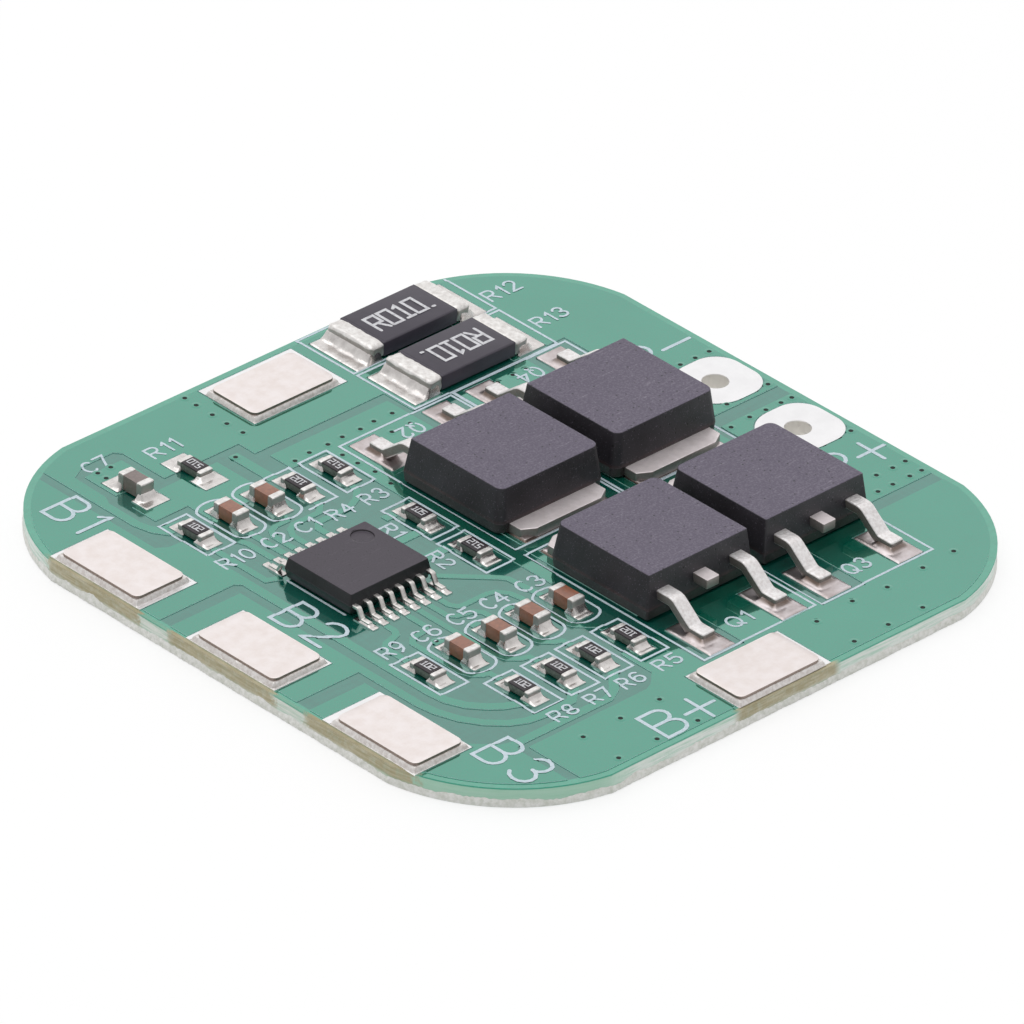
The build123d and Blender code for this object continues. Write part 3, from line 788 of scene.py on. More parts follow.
LEGEND_GLYPHS: dict[str, list[list[Point]]] = {
    "B": [[(0, 0.52), (0, 1), *arc(0.38, 0.76, 0.24, 0.24, 90, -90), (0, 0.52)],
          [(0, 0.52), (0, 0), *arc(0.38, 0.26, 0.28, 0.26, -90, 90)]],
    "C": [arc(0.34, 0.5, 0.34, 0.5, 48, 312, 14)],
    "P": [[(0, 0), (0, 1), *arc(0.38, 0.73, 0.28, 0.27, 90, -90), (0, 0.46)]],
    "Q": [arc(0.36, 0.5, 0.36, 0.5, 0, 360, 16), [(0.42, 0.28), (0.72, -0.04)]],
    "R": [[(0, 0), (0, 1), *arc(0.38, 0.74, 0.27, 0.26, 90, -90), (0, 0.48)],
          [(0.34, 0.46), (0.66, 0)]],
    "0": [arc(0.32, 0.5, 0.32, 0.5, 0, 360, 16)],
    "1": [[(0.04, 0.78), (0.24, 1), (0.24, 0)]],
    "2": [[*arc(0.31, 0.72, 0.31, 0.28, 165, -25), (0, 0), (0.64, 0)]],
    "3": [[*arc(0.3, 0.75, 0.27, 0.25, 160, -80), (0.32, 0.52)],
          [(0.32, 0.52), *arc(0.3, 0.26, 0.32, 0.26, 80, -155)]],
    "4": [[(0.48, 0), (0.48, 1), (0, 0.34), (0.68, 0.34)]],
    "5": [[(0.58, 1), (0.08, 1), (0.04, 0.56), *arc(0.29, 0.31, 0.33, 0.31, 120, -150)]],
    "6": [[*arc(0.32, 0.68, 0.32, 0.32, 40, 180), (0, 0.32),
           *arc(0.32, 0.3, 0.32, 0.3, 180, 540, 16)]],
    "7": [[(0, 1), (0.64, 1), (0.22, 0)]],
    "8": [arc(0.32, 0.75, 0.26, 0.25, -90, 270, 16), arc(0.32, 0.26, 0.32, 0.26, 90, 450, 16)],
    "9": [[*arc(0.32, 0.7, 0.32, 0.3, 0, 360, 16), (0.64, 0.6), (0.5, 0.2), (0.2, 0)]],
    "+": [[(0, 0.5), (1, 0.5)], [(0.5, 0), (0.5, 1)]],
    "-": [[(0, 0.5), (0.9, 0.5)]],
}
CODE_GLYPHS: dict[str, list[list[Point]]] = {
    "0": [[(0, 0), (0, 1), (0.6, 1), (0.6, 0), (0, 0)]],
    "1": [[(0.1, 0.86), (0.32, 1), (0.32, 0)], [(0.08, 0), (0.56, 0)]],
    "2": [[(0, 1), (0.6, 1), (0.6, 0.5), (0, 0.5), (0, 0), (0.6, 0)]],
    "5": [[(0.6, 1), (0, 1), (0, 0.52), (0.6, 0.52), (0.6, 0), (0, 0)]],
    "R": [[(0, 0), (0, 1), (0.6, 1), (0.6, 0.48), (0, 0.48)], [(0.3, 0.48), (0.62, 0)]],
    ".": [[(0.1, 0), (0.2, 0)]],
}


@dataclass(frozen=True)
class Words:
    """A short run of marks: what it says, its middle, its length and height, and its turn."""

    text: str
    x: float
    y: float
    length: float
    height: float
    turn: float = 0.0


@dataclass
class Pen:
    """Draws printed lines of one width on a skin.

    The ink lies a little above the surface below, and each stroke climbs over the one before.
    """

    skin: Skin
    width: float
    height_at: Callable[[float, float], float]
    lift: float = 0.005
    climb: float = 0.004

    def _finer(self, line: Sequence[Point], step: float = 0.12) -> list[Point]:
        """Line with points added on its long stretches."""
        fine = [line[0]]
        for start, end in zip(line, line[1:]):
            parts = max(1, math.ceil(math.dist(start, end) / step))
            fine += [(start[0] + (end[0] - start[0]) * i / parts,
                      start[1] + (end[1] - start[1]) * i / parts) for i in range(1, parts + 1)]
        return fine

    def line(self, points: Sequence[Point], closed: bool = False, over: int = 0) -> None:
        """Draw a line with round ends, or a closed loop with mitred corners.

        Args:
            points: the line's corners.
            closed: whether it runs back to its start.
            over: how many strokes of the same mark lie below it.
        """
        points = self._finer([*points, points[0]] if closed else list(points))
        half = self.width / 2
        last = len(points) - 1
        left, right = [], []
        for i, (x, y) in enumerate(points):
            before = points[i - 1] if i else (points[last - 1] if closed else None)
            after = points[i + 1] if i < last else (points[1] if closed else None)
            headings = []
            if before:
                headings.append(math.atan2(y - before[1], x - before[0]))
            if after:
                headings.append(math.atan2(after[1] - y, after[0] - x))
            ux = sum(math.cos(h) for h in headings) / len(headings)
            uy = sum(math.sin(h) for h in headings) / len(headings)
            size = max(ux * ux + uy * uy, 0.25)
            left.append((x - uy / size * half, y + ux / size * half))
            right.append((x + uy / size * half, y - ux / size * half))
        base = self.lift + over * self.climb
        lifts = [base + self.climb * 0.9 * i / last for i in range(last + 1)]
        rows = [[(*a, self.height_at(*a) + lift), (*b, self.height_at(*b) + lift)]
                for a, b, lift in zip(right, left, lifts)]
        self.skin.sheet(rows)
        if not closed:
            for end, inner, lift in ((points[0], points[1], lifts[0]),
                                     (points[last], points[last - 1], lifts[last])):
                turn = math.atan2(end[1] - inner[1], end[0] - inner[0])
                fan = [(end[0] + half * math.cos(turn + math.radians(a)),
                        end[1] + half * math.sin(turn + math.radians(a)))
                       for a in (-90, -54, -18, 18, 54, 90)]
                self.skin.add([(*p, self.height_at(*p) + lift) for p in fan],
                              [tuple(range(len(fan)))])

    def words(self, words: Words, glyphs: dict[str, list[list[Point]]], gap: float) -> None:
        """Draw marks to fill their box.

        Args:
            words: what to draw and where.
            glyphs: the strokes of each mark.
            gap: the space between marks, as a share of their height.
        """
        strokes: list[list[Point]] = []
        pen_x = 0.0
        for mark in words.text:
            drawn = glyphs[mark]
            strokes += [[(pen_x + px, py) for px, py in stroke] for stroke in drawn]
            pen_x += max(px for stroke in drawn for px, _ in stroke) + gap
        full = pen_x - gap
        at = Placement(words.x, words.y, words.turn)
        wide = (words.length - self.width) / full
        tall = words.height - self.width
        for over, stroke in enumerate(strokes):
            self.line([at.point((px - full / 2) * wide, (py - 0.5) * tall) for px, py in stroke],
                      over=over)


def boxed(x0: float, x1: float, y0: float, y1: float, bow: float = 0.0) -> list[Point]:
    """Corner points of a printed frame, its short ends bowed out where a bow is given."""
    if not bow:
        return [(x0, y0), (x1, y0), (x1, y1), (x0, y1)]
    half = (x1 - x0) / 2
    return [*arc(x0 + half, y1 - bow, half, bow, 0, 180, 10),
            *arc(x0 + half, y0 + bow, half, bow, 180, 360, 10)]


@dataclass
class Legend:
    """Printed frames, part marks and pad marks on the board."""

    line: float = 0.13
    small_line: float = 0.125
    small_gap: float = 0.34
    big_line: float = 0.19
    big_gap: float = 0.36
    small: tuple[Words, ...] = (
        Words("C7", -10.93, 15.9, 1.5, 0.92), Words("R11", -7.7, 14.9, 1.8, 0.98),
        Words("R12", 13.78, 15.0, 2.05, 1.0), Words("R13", 13.85, 11.83, 2.0, 0.95),
        Words("R10", -11.55, 5.82, 2.0, 0.95), Words("C2", -9.15, 5.82, 1.45, 0.95),
        Words("C1", -7.2, 5.82, 1.2, 0.95), Words("R4", -5.2, 5.7, 1.4, 0.98),
        Words("R3", -3.15, 5.7, 1.4, 0.98), Words("R9", -11.5, -4.3, 1.4, 0.98),
        Words("C6", -9.38, -4.3, 1.45, 0.98), Words("C5", -7.2, -4.3, 1.45, 0.98),
        Words("C4", -5.15, -4.3, 1.45, 0.98), Words("C3", -2.95, -4.3, 1.45, 0.98),
        Words("R8", -9.28, -13.05, 1.45, 0.92), Words("R7", -7.1, -13.05, 1.4, 0.92),
        Words("R6", -5.1, -13.05, 1.4, 0.92), Words("R5", -2.83, -13.05, 1.45, 0.92),
        Words("Q1", 2.05, -12.62, 1.35, 0.95), Words("Q3", 9.28, -12.85, 1.45, 0.98),
        Words("Q2", 2.05, 8.7, 1.4, 0.98, 180), Words("Q4", 9.6, 8.7, 1.45, 0.98, 180),
        Words("R1", -4.55, 2.98, 1.15, 0.9, -90), Words("R2", -4.6, -0.25, 1.4, 0.9, -90),
    )
    big: tuple[Words, ...] = (
        Words("B1", -14.5, 13.25, 2.6, 2.3, -90), Words("B2", -12.78, -0.45, 3.5, 2.25, -90),
        Words("B3", -13.6, -14.48, 3.45, 2.4, -90), Words("B", -6.42, -16.55, 1.65, 2.2),
        Words("+", -4.4, -16.7, 1.95, 1.95), Words("P", 14.85, -6.2, 1.6, 2.2),
        Words("+", 16.85, -6.3, 1.9, 1.9), Words("P", 14.65, 6.35, 1.6, 2.2),
        Words("-", 16.65, 6.27, 1.9, 1.9),
    )
    frames: tuple[tuple[float, ...], ...] = (
        (-3.86, -2.14, 6.71, 9.94, 0), (-3.76, -2.04, 1.30, 4.53, 0),
        (-3.78, -2.06, -2.37, 0.86, 0),
        (-12.43, -10.71, -8.43, -5.2, 0), (-10.25, -8.53, -12.22, -8.99, 0),
        (-8.02, -6.3, -12.25, -9.02, 0), (-5.89, -4.17, -12.23, -9.0, 0),
        (-3.69, -1.97, -12.23, -9.0, 0), (-12.39, -10.67, 6.86, 10.09, 0),
        (-10.33, -8.5, 6.75, 10.2, 0.55), (-8.12, -6.25, 6.75, 10.2, 0.55),
        (-10.3, -8.45, -8.3, -5.0, 0.55), (-8.0, -6.25, -8.3, -5.0, 0.55),
        (-5.9, -4.2, -8.3, -5.0, 0.55), (-3.83, -2.0, -8.3, -5.0, 0.55),
        (-1.45, 5.6, -1.8, 9.8, 0), (5.8, 12.95, -1.8, 9.85, 0),
        (-1.45, 5.55, -14.0, -2.45, 0), (5.85, 12.95, -14.1, -2.45, 0),
        (3.45, 12.5, 9.95, 13.8, 0),
    )
    loose: tuple[tuple[Point, ...], ...] = (
        ((-11.05, -0.8), (-11.05, 3.0)),
        ((-6.15, 6.75), (-4.45, 6.75), (-4.45, 9.98), (-6.15, 9.98)),
        ((11.2, 17.9), (3.45, 17.9), (3.45, 14.03), (12.5, 14.03), (12.5, 17.48)),
    )

    def build(self, ground: Ground, dresser: Dresser) -> None:
        """Draw the print and make its piece."""
        skin = Skin()
        pen = Pen(skin, self.line, ground.cover)
        for frame in self.frames:
            pen.line(boxed(*frame), closed=True)
        for points in self.loose:
            pen.line(points)
        for width, gap, marks in ((self.small_line, self.small_gap, self.small),
                                  (self.big_line, self.big_gap, self.big)):
            pen = Pen(skin, width, ground.cover)
            for words in marks:
                pen.words(words, LEGEND_GLYPHS, gap)
        dresser.make("legend", skin, LEGEND)


@dataclass
class Vias:
    """Small plated holes under the coating, drawn as dark dots of painted shade in low rings."""

    spots: tuple[Point, ...] = (
        (-3.95, 17.5), (-3.97, 16.7), (-3.98, 15.6), (-4.0, 14.6), (-3.97, 13.55),
        (-11.4, 15.25), (-10.6, 15.25), (-11.4, 14.68), (-5.68, 12.2),
        (-3.84, 10.2), (-2.85, 10.3), (-1.72, 10.27), (-0.77, 10.32), (0.33, 10.28),
        (1.27, 10.38), (2.4, 10.35), (-1.84, 9.17), (-1.8, 8.2), (-1.7, 7.15), (-1.85, 5.95),
        (1.27, 9.17), (2.43, 9.17), (7.98, 9.17), (8.97, 9.2), (9.8, 9.17), (-9.5, -5.1),
        (15.5, 4.82), (16.45, 4.8), (17.35, 4.8),
        (13.6, 0.85), (14.68, 0.92), (15.52, 0.92), (16.6, 0.95), (17.37, 0.95),
        (13.4, -0.65), (14.68, -0.57), (15.7, -0.6), (16.68, -0.6), (17.38, -0.6),
        (15.6, -4.55), (16.6, -4.52), (17.38, -4.45),
        (15.52, -7.95), (16.55, -7.98), (17.4, -7.95),
        (14.57, -9.0), (15.53, -9.0), (16.63, -9.0), (17.4, -9.0),
        (-10.0, -15.05), (-7.68, -15.03), (-5.28, -15.05), (4.62, -15.02), (7.05, -14.85),
        (9.08, -15.05), (11.48, -14.93), (13.55, -14.85),
        (-10.0, -17.3), (-7.63, -17.3), (-5.2, -17.4), (4.72, -17.3), (6.88, -17.3), (9.08, -17.3),
    )
    profile: tuple[Point, ...] = (
        (0.26, 0.0005), (0.21, 0.007), (0.16, 0.011), (0.118, 0.01), (0.1, 0.003),
        (0.05, 0.0015),
    )
    # dark_from: inside this radius the dot takes the via pit colour, painted shade of the hole.
    dark_from: float = 0.119
    around: int = 20

    def build(self, ground: Ground, dresser: Dresser) -> None:
        """Make every dot on the upper face, and its twin on the lower one."""
        skin = Skin()
        for x, y in self.spots:
            for base, sign in ((ground.height(x, y), 1), (0.0, -1)):
                rings = [[(*point, base + sign * rise)
                          for point in arc(x, y, radius, sign * radius, 0, 360, self.around)]
                         for radius, rise in self.profile]
                for (radius, _), outer, inner in zip(self.profile, rings, rings[1:]):
                    skin.sheet([inner, outer], int(radius < self.dark_from))
                skin.add(rings[-1][:-1], [tuple(range(self.around))], 1)
        dresser.make("vias", skin, MASK, VIA_PIT)


def around(x: float, y: float, size: Point) -> Box:
    """Box of a size about its middle."""
    return x - size[0] / 2, y - size[1] / 2, x + size[0] / 2, y + size[1] / 2


def grown(low: Vector, high: Vector, by: float) -> Box:
    """Box between two corners, grown on every side."""
    return low.x - by, low.y - by, high.x + by, high.y + by


def lumps(*spot: float) -> float:
    """Smooth noise about zero at a place."""
    return noise.noise(Vector(spot))


@dataclass(frozen=True)
class Pool:
    """Solder on one land that climbs the metal standing on it.

    Both boxes are x0, y0, x1, y1 in the part's own frame.
    """

    land: Box
    metal: Box
    rise: float
    reach: float
    film: float = 0.025
    step: float = 0.07
    seed: float = 0.0
    hollow: float = 2.2
    rim: float = 0.11

    def add_to(self, skin: Skin, at: Placement) -> None:
        """Add the pool's surface, from the land up to the metal."""
        x0, y0, x1, y1 = self.land
        columns = max(4, round((x1 - x0) / self.step))
        lines = max(4, round((y1 - y0) / self.step))
        rows = []
        for i in range(columns + 1):
            row = []
            for j in range(lines + 1):
                x, y = x0 + (x1 - x0) * i / columns, y0 + (y1 - y0) * j / lines
                row.append((*at.point(x, y), LAND_TOP + self._height(x, y, at)))
            rows.append(row)
        skin.sheet(rows)

    def _height(self, x: float, y: float, at: Placement) -> float:
        """Height of the solder above its land."""
        x0, y0, x1, y1 = self.land
        mx0, my0, mx1, my1 = self.metal
        away = math.hypot(max(mx0 - x, 0, x - mx1), max(my0 - y, 0, y - my1))
        wobble = lumps(at.x * 3.1 + x * 1.7, at.y * 2.3 + y * 1.7, self.seed)
        reach = self.reach * (1 + 0.35 * wobble)
        climb = max(0.0, 1 - away / reach) ** self.hollow
        inside = max(0.0, min(x - x0, x1 - x, y - y0, y1 - y))
        edge = math.sqrt(min(1.0, inside / self.rim))
        return (self.film * (1 + 0.3 * wobble) + self.rise * climb) * edge


def rounded(half: Point, corners: Point, inset: float, height: float,
            count: int = 6) -> list[Spot]:
    """Ring with rounded corners, counter-clockwise as seen from above.

    Args:
        half: half its width and length before the inset.
        corners: the rounding towards -Y and towards +Y.
        inset: how far it is drawn in.
        height: its height.
        count: the number of steps round a corner.

    Returns:
        The ring's points.
    """
    points: list[Spot] = []
    for quarter, (sx, sy) in enumerate(((1, 1), (-1, 1), (-1, -1), (1, -1))):
        radius = max(0.02, corners[1 if sy > 0 else 0] - max(0.0, inset) * 0.2)
        cx, cy = sx * (half[0] - inset - radius), sy * (half[1] - inset - radius)
        points += [(x, y, height) for x, y in
                   arc(cx, cy, radius, radius, 90 * quarter, 90 * quarter + 90, count)]
    return points


@dataclass(frozen=True)
class Case:
    """Moulded case: half sizes, corners, heights, drafts up and down, edge rounding and flash.

    A dimple is the x, y, radius and depth of a round dish in the top.
    """

    half: Point
    corners: Point
    low: float
    parting: float
    high: float
    draft: Point
    edge: float
    flash: float
    dimple: tuple[float, float, float, float] | None = None
    lip: float = 0.012

    def _profile(self) -> list[Point]:
        """Heights and insets from the bottom edge to the flat top."""
        up, down = (math.tan(math.radians(angle)) for angle in self.draft)
        foot = (self.parting - self.low) * down
        rise = (self.high - self.edge - self.parting) * up
        lip = self.lip
        steps = [(self.low, foot + self.edge * 1.5), (self.low, foot + self.edge),
                 (self.low + self.edge * 0.3, foot + self.edge * 0.3),
                 (self.low + self.edge, foot - self.edge * down),
                 (self.parting - lip * 1.6, lip * 1.6 * down), (self.parting - lip, -self.flash),
                 (self.parting + lip, -self.flash), (self.parting + lip * 1.6, lip * 1.6 * up)]
        for step in range(1, 4):
            steps.append((self.parting + (self.high - self.edge - self.parting) * step / 4,
                          rise * step / 4))
        for step in range(6):
            turn = math.radians(18 * step)
            steps.append((self.high - self.edge * (1 - math.sin(turn)),
                          rise + self.edge * (1 - math.cos(turn))))
        steps += [(self.high, rise + self.edge * 1.4), (self.high, rise + self.edge + 0.25)]
        return steps

    def add_to(self, skin: Skin, at: Placement) -> None:
        """Add the case at a place on the board."""
        rings = [[(*at.point(x, y), z) for x, y, z in rounded(self.half, self.corners, inset, z)]
                 for z, inset in self._profile()]
        skin.loft(rings, high_lid=self.dimple is None)
        if self.dimple is None:
            return
        x, y, radius, depth = self.dimple
        circles = [[(*at.point(px, py), self.high - sink) for px, py in
                    arc(x, y, radius - shrink, radius - shrink, 0, 360, 40)[:-1]]
                   for shrink, sink in ((-0.04, 0.0), (-0.01, 0.0), (0.01, 0.008),
                                        (0.03, depth * 0.8), (0.06, depth), (0.12, depth))]
        skin.loft(circles, low_lid=False)
        rim = [Vector(p) for p in rings[-1]], [Vector(p) for p in circles[0]]
        skin.add([*rings[-1], *circles[0]], geometry.tessellate_polygon(rim))


@dataclass(frozen=True)
class FormedLead:
    """Flat lead bent in Y and height: corners of its middle line, bend, thickness, width, ease."""

    path: tuple[Point, ...]
    bend: float
    thickness: float
    width: float
    ease: float

    def _middle(self, steps: int = 7) -> list[Point]:
        """Middle line with its corners bent round."""
        line = [Vector(self.path[0])]
        for before, corner, after in zip(self.path, self.path[1:], self.path[2:]):
            here = Vector(corner)
            come, go = (here - Vector(before)).normalized(), (Vector(after) - here).normalized()
            reach = self.bend * math.tan(come.angle(go) / 2)
            start, end = here - come * reach, here + go * reach
            line += [start.lerp(here, t).lerp(here.lerp(end, t), t)
                     for t in (i / steps for i in range(steps + 1))]
        line.append(Vector(self.path[-1]))
        return [(point.x, point.y) for point in line]

    def add_to(self, skin: Skin, at: Placement, shift: float) -> None:
        """Add the lead at a distance along the package.

        Args:
            skin: the skin that takes it.
            at: the package's place.
            shift: the lead's place along the package.
        """
        line = self._middle()
        end = Vector(line[-1]) - Vector(line[-2])
        end.normalize()
        line[-1:] = [tuple(Vector(line[-1]) - end * self.ease * k) for k in (1.0, 0.3, 0.0)]
        shrinks = [0.0] * (len(line) - 2) + [self.ease * 0.3, self.ease]
        rings = []
        for i, ((y, z), shrink) in enumerate(zip(line, shrinks)):
            ahead = Vector(line[min(i + 1, len(line) - 1)]) - Vector(line[max(i - 1, 0)])
            ahead.normalize()
            section = rounded((self.width / 2, self.thickness / 2), (self.ease, self.ease),
                              shrink, 0.0, 3)
            rings.append([(*at.point(shift + across, y - ahead.y * out), z + ahead.x * out)
                          for across, out, _ in section])
        skin.loft(rings)


@dataclass
class PowerTransistors:
    """Four switched transistors with their formed leads, drain plates and solder."""

    places: dict[str, Placement] = field(default_factory=lambda: {
        "q1": Placement(2.03, -6.96, 0), "q2": Placement(2.0, 2.56, 180),
        "q3": Placement(9.38, -7.0, 0), "q4": Placement(9.36, 2.62, 180)})
    case: Case = Case(half=(3.325, 3.2), corners=(0.12, 0.45), low=1.1, parting=1.62, high=3.35,
                      draft=(7.5, 5.0), edge=0.05, flash=0.003)
    lead: FormedLead = FormedLead(((-2.65, 2.24), (-3.95, 2.24), (-5.15, 1.29), (-6.1, 1.29)),
                                  bend=0.5, thickness=0.48, width=0.78, ease=0.07)
    pitch: float = 2.285
    land: Point = (1.6, 2.9)
    land_centre: float = -5.55
    foot: Point = (-6.1, -5.2)
    tab_half: float = 2.7
    tab_reach: float = 4.25
    tab_rim: float = 0.05
    tab_pool_from: float = 3.1

    def build(self, dresser: Dresser) -> None:
        """Make the cases and leads, dress the plates, and lay the solder around the feet."""
        solder = Skin()
        half = self.lead.width / 2
        for number, (name, at) in enumerate(self.places.items()):
            case = Skin()
            self.case.add_to(case, at)
            dresser.make(f"{name}_case", case, MOULD, smooth=30.0, instead_of=[f"{name}_body"])
            dresser.dress(f"{name}_drain", PLATE, 0.05)
            for side, kind in ((-1, "gate"), (1, "source")):
                x = side * self.pitch
                lead = Skin()
                self.lead.add_to(lead, at, x)
                dresser.make(f"{name}_{kind}_lead", lead, LEAD, smooth=50.0,
                             instead_of=[f"{name}_{kind}"])
                Pool(around(x, self.land_centre, self.land),
                     (x - half, self.foot[0], x + half, self.foot[1]), rise=0.2, reach=0.3,
                     film=0.05, seed=number + side * 0.3, hollow=1.8).add_to(solder, at)
            Pool((-self.tab_half - self.tab_rim, self.tab_pool_from,
                  self.tab_half + self.tab_rim, self.tab_reach + self.tab_rim),
                 (-self.tab_half, 0.0, self.tab_half, self.tab_reach - 0.02),
                 rise=0.1, reach=0.2, film=0.02, seed=number + 7.0).add_to(solder, at)
        dresser.make("transistor_fillets", solder, DULL_SOLDER, instead_of=["transistor_solder"])


@dataclass
class Controller:
    """Sixteen-lead control package."""

    at: Placement = Placement(-8.58, 1.02)
    case: Case = Case(half=(2.5, 2.2), corners=(0.1, 0.1), low=1.12, parting=1.6, high=2.15,
                      draft=(12.0, 12.0), edge=0.035, flash=0.004, dimple=(1.42, 1.22, 0.57, 0.08))
    lead: FormedLead = FormedLead(((-1.9, 1.6), (-2.5, 1.6), (-2.75, 1.125), (-3.28, 1.125)),
                                  bend=0.14, thickness=0.15, width=0.26, ease=0.035)
    pitch: float = 0.65
    count: int = 8
    land: Point = (0.38, 1.3)
    land_offset: float = 3.0
    foot: Point = (2.75, 3.28)

    def build(self, dresser: Dresser) -> None:
        """Make the case and leads, and lay a fillet at each toe."""
        case, leads, solder = Skin(), Skin(), Skin()
        self.case.add_to(case, self.at)
        half = self.lead.width / 2
        for side in (-1, 1):
            seat = Placement(self.at.x, self.at.y, 0.0 if side < 0 else 180.0)
            low, high = sorted(side * reach for reach in self.foot)
            for i in range(self.count):
                x = (i - (self.count - 1) / 2) * self.pitch
                self.lead.add_to(leads, seat, x)
                Pool(around(x, side * self.land_offset, self.land), (x - half, low, x + half, high),
                     rise=0.08, reach=0.14, film=0.02, step=0.055,
                     seed=i + side).add_to(solder, self.at)
        dresser.make("controller_case", case, CHIP_MOULD, smooth=30.0,
                     instead_of=["controller_body"])
        dresser.make("controller_formed_leads", leads, FINE_LEAD, smooth=50.0,
                     instead_of=["controller_leads"])
        dresser.make("controller_fillets", solder, SOLDER, instead_of=["controller_solder"])


@dataclass(frozen=True)
class Ends:
    """End metal and solder of a part that is long in its own X.

    The size is the part's length and width and the metal's height; the land is its length, its
    width and its distance from the middle; wear and pool are as Skin.worn and Pool take them.
    """

    size: Spot
    cap: float
    gripped: float
    inset: float
    wear: tuple[float, float, int]
    land: Spot
    pool: tuple[float, float, float, float]

    def add_to(self, caps: Skin, solder: Skin, at: Placement, seed: float) -> None:
        """Add the metal and the solder of both ends.

        Args:
            caps: the skin that takes the metal.
            solder: the skin that takes the solder.
            at: the part's place.
            seed: the number that varies the solder.
        """
        length, width, height = self.size
        half = width / 2 - self.inset
        for side in (-1, 1):
            near, far = sorted((side * (length / 2 - self.cap), side * length / 2))
            caps.worn(at, (near, -width / 2, LAND_TOP), (far, width / 2, LAND_TOP + height),
                      *self.wear)
            near, far = sorted((side * (length / 2 - self.gripped), side * length / 2))
            Pool(around(side * self.land[2], 0.0, self.land[:2]), (near, -half, far, half),
                 *self.pool, seed=seed + side * 0.4).add_to(solder, at)


class ChipKind(Enum):
    """Kinds of small chip part."""

    RESISTOR = "resistor"
    CAPACITOR = "capacitor"
    DARK_CAPACITOR = "dark capacitor"


@dataclass(frozen=True)
class Chip:
    """One small chip part, long in Y: its place, kind and printed code."""

    x: float
    y: float
    kind: ChipKind = ChipKind.RESISTOR
    code: str = ""
    code_turn: float = -90.0
    wide_land: bool = False


@dataclass
class ChipParts:
    """Small chip resistors and capacitors."""

    parts: dict[str, Chip] = field(default_factory=lambda: {
        "r1": Chip(-2.98, 2.91, code="105"), "r2": Chip(-3.0, -0.78, code="512", code_turn=90),
        "r3": Chip(-3.08, 8.32, code="512", code_turn=90),
        "r4": Chip(-5.36, 8.35, code="102", code_turn=90),
        "r5": Chip(-2.91, -10.62, code="102", code_turn=90), "r6": Chip(-5.11, -10.62, code="102"),
        "r7": Chip(-7.24, -10.62, code="102"), "r8": Chip(-9.47, -10.6, code="102"),
        "r9": Chip(-11.65, -6.82, code="102"), "r10": Chip(-11.61, 8.45, code="102"),
        "r11": Chip(-7.95, 12.48, code="510", code_turn=90, wide_land=True),
        "c1": Chip(-7.24, 8.42, ChipKind.CAPACITOR), "c2": Chip(-9.46, 8.42, ChipKind.CAPACITOR),
        "c3": Chip(-2.97, -6.7, ChipKind.CAPACITOR), "c4": Chip(-5.1, -6.7, ChipKind.CAPACITOR),
        "c5": Chip(-7.18, -6.7, ChipKind.CAPACITOR), "c6": Chip(-9.43, -6.7, ChipKind.CAPACITOR),
        "c7": Chip(-11.13, 12.98, ChipKind.DARK_CAPACITOR, wide_land=True)})
    length: float = 1.6
    width: float = 0.82
    cap: float = 0.3
    long_cap: float = 0.38
    coat: Point = (1.06, 0.78)
    coat_rise: float = 0.012
    code_line: float = 0.06
    code_size: Point = (0.78, 0.42)
    code_gap: float = 0.26
    resistor_height: float = 0.42
    capacitor_height: float = 0.72
    dark_height: float = 0.82
    land: Spot = (0.93, 0.95, 0.83)
    wide: Spot = (1.05, 1.42, 1.0)

    def build(self, dresser: Dresser) -> None:
        """Dress the bodies, then add overcoats, codes, end metal and solder."""
        bodies = {ChipKind.RESISTOR: ALUMINA, ChipKind.CAPACITOR: BROWN,
                  ChipKind.DARK_CAPACITOR: GREY_BROWN}
        tall = {ChipKind.RESISTOR: self.resistor_height, ChipKind.CAPACITOR: self.capacitor_height,
                ChipKind.DARK_CAPACITOR: self.dark_height}
        coats, codes, solder, caps = Skin(), Skin(), Skin(), Skin()
        top = LAND_TOP + self.resistor_height + self.coat_rise
        pen = Pen(codes, self.code_line, lambda x, y: top, lift=0.002)
        for number, (name, chip) in enumerate(self.parts.items()):
            at = Placement(chip.x, chip.y, 90)
            dresser.dress(f"{name}_body", bodies[chip.kind], 0.02)
            resistor = chip.kind is ChipKind.RESISTOR
            if resistor:
                coats.block(at, self.coat, top - 0.06, top, round_by=0.035)
                pen.words(Words(chip.code, chip.x, chip.y, *self.code_size, chip.code_turn),
                          CODE_GLYPHS, self.code_gap)
            rise = (self.resistor_height if resistor else self.capacitor_height) * 0.45
            Ends((self.length, self.width, tall[chip.kind] + 0.01),
                 cap=self.cap if resistor else self.long_cap, gripped=self.cap, inset=0.03,
                 wear=(0.07, 0.012, 7), land=self.wide if chip.wide_land else self.land,
                 pool=(rise, 0.3, 0.03, 0.05)).add_to(caps, solder, at, number)
        dresser.make("chip_end_metal", caps, CAP, smooth=60.0, instead_of=["chip_terminals"])
        dresser.make("resistor_overcoats", coats, GLAZE)
        dresser.make("resistor_codes", codes, CODE)
        dresser.make("chip_fillets", solder, SOLDER, instead_of=["chip_solder"])


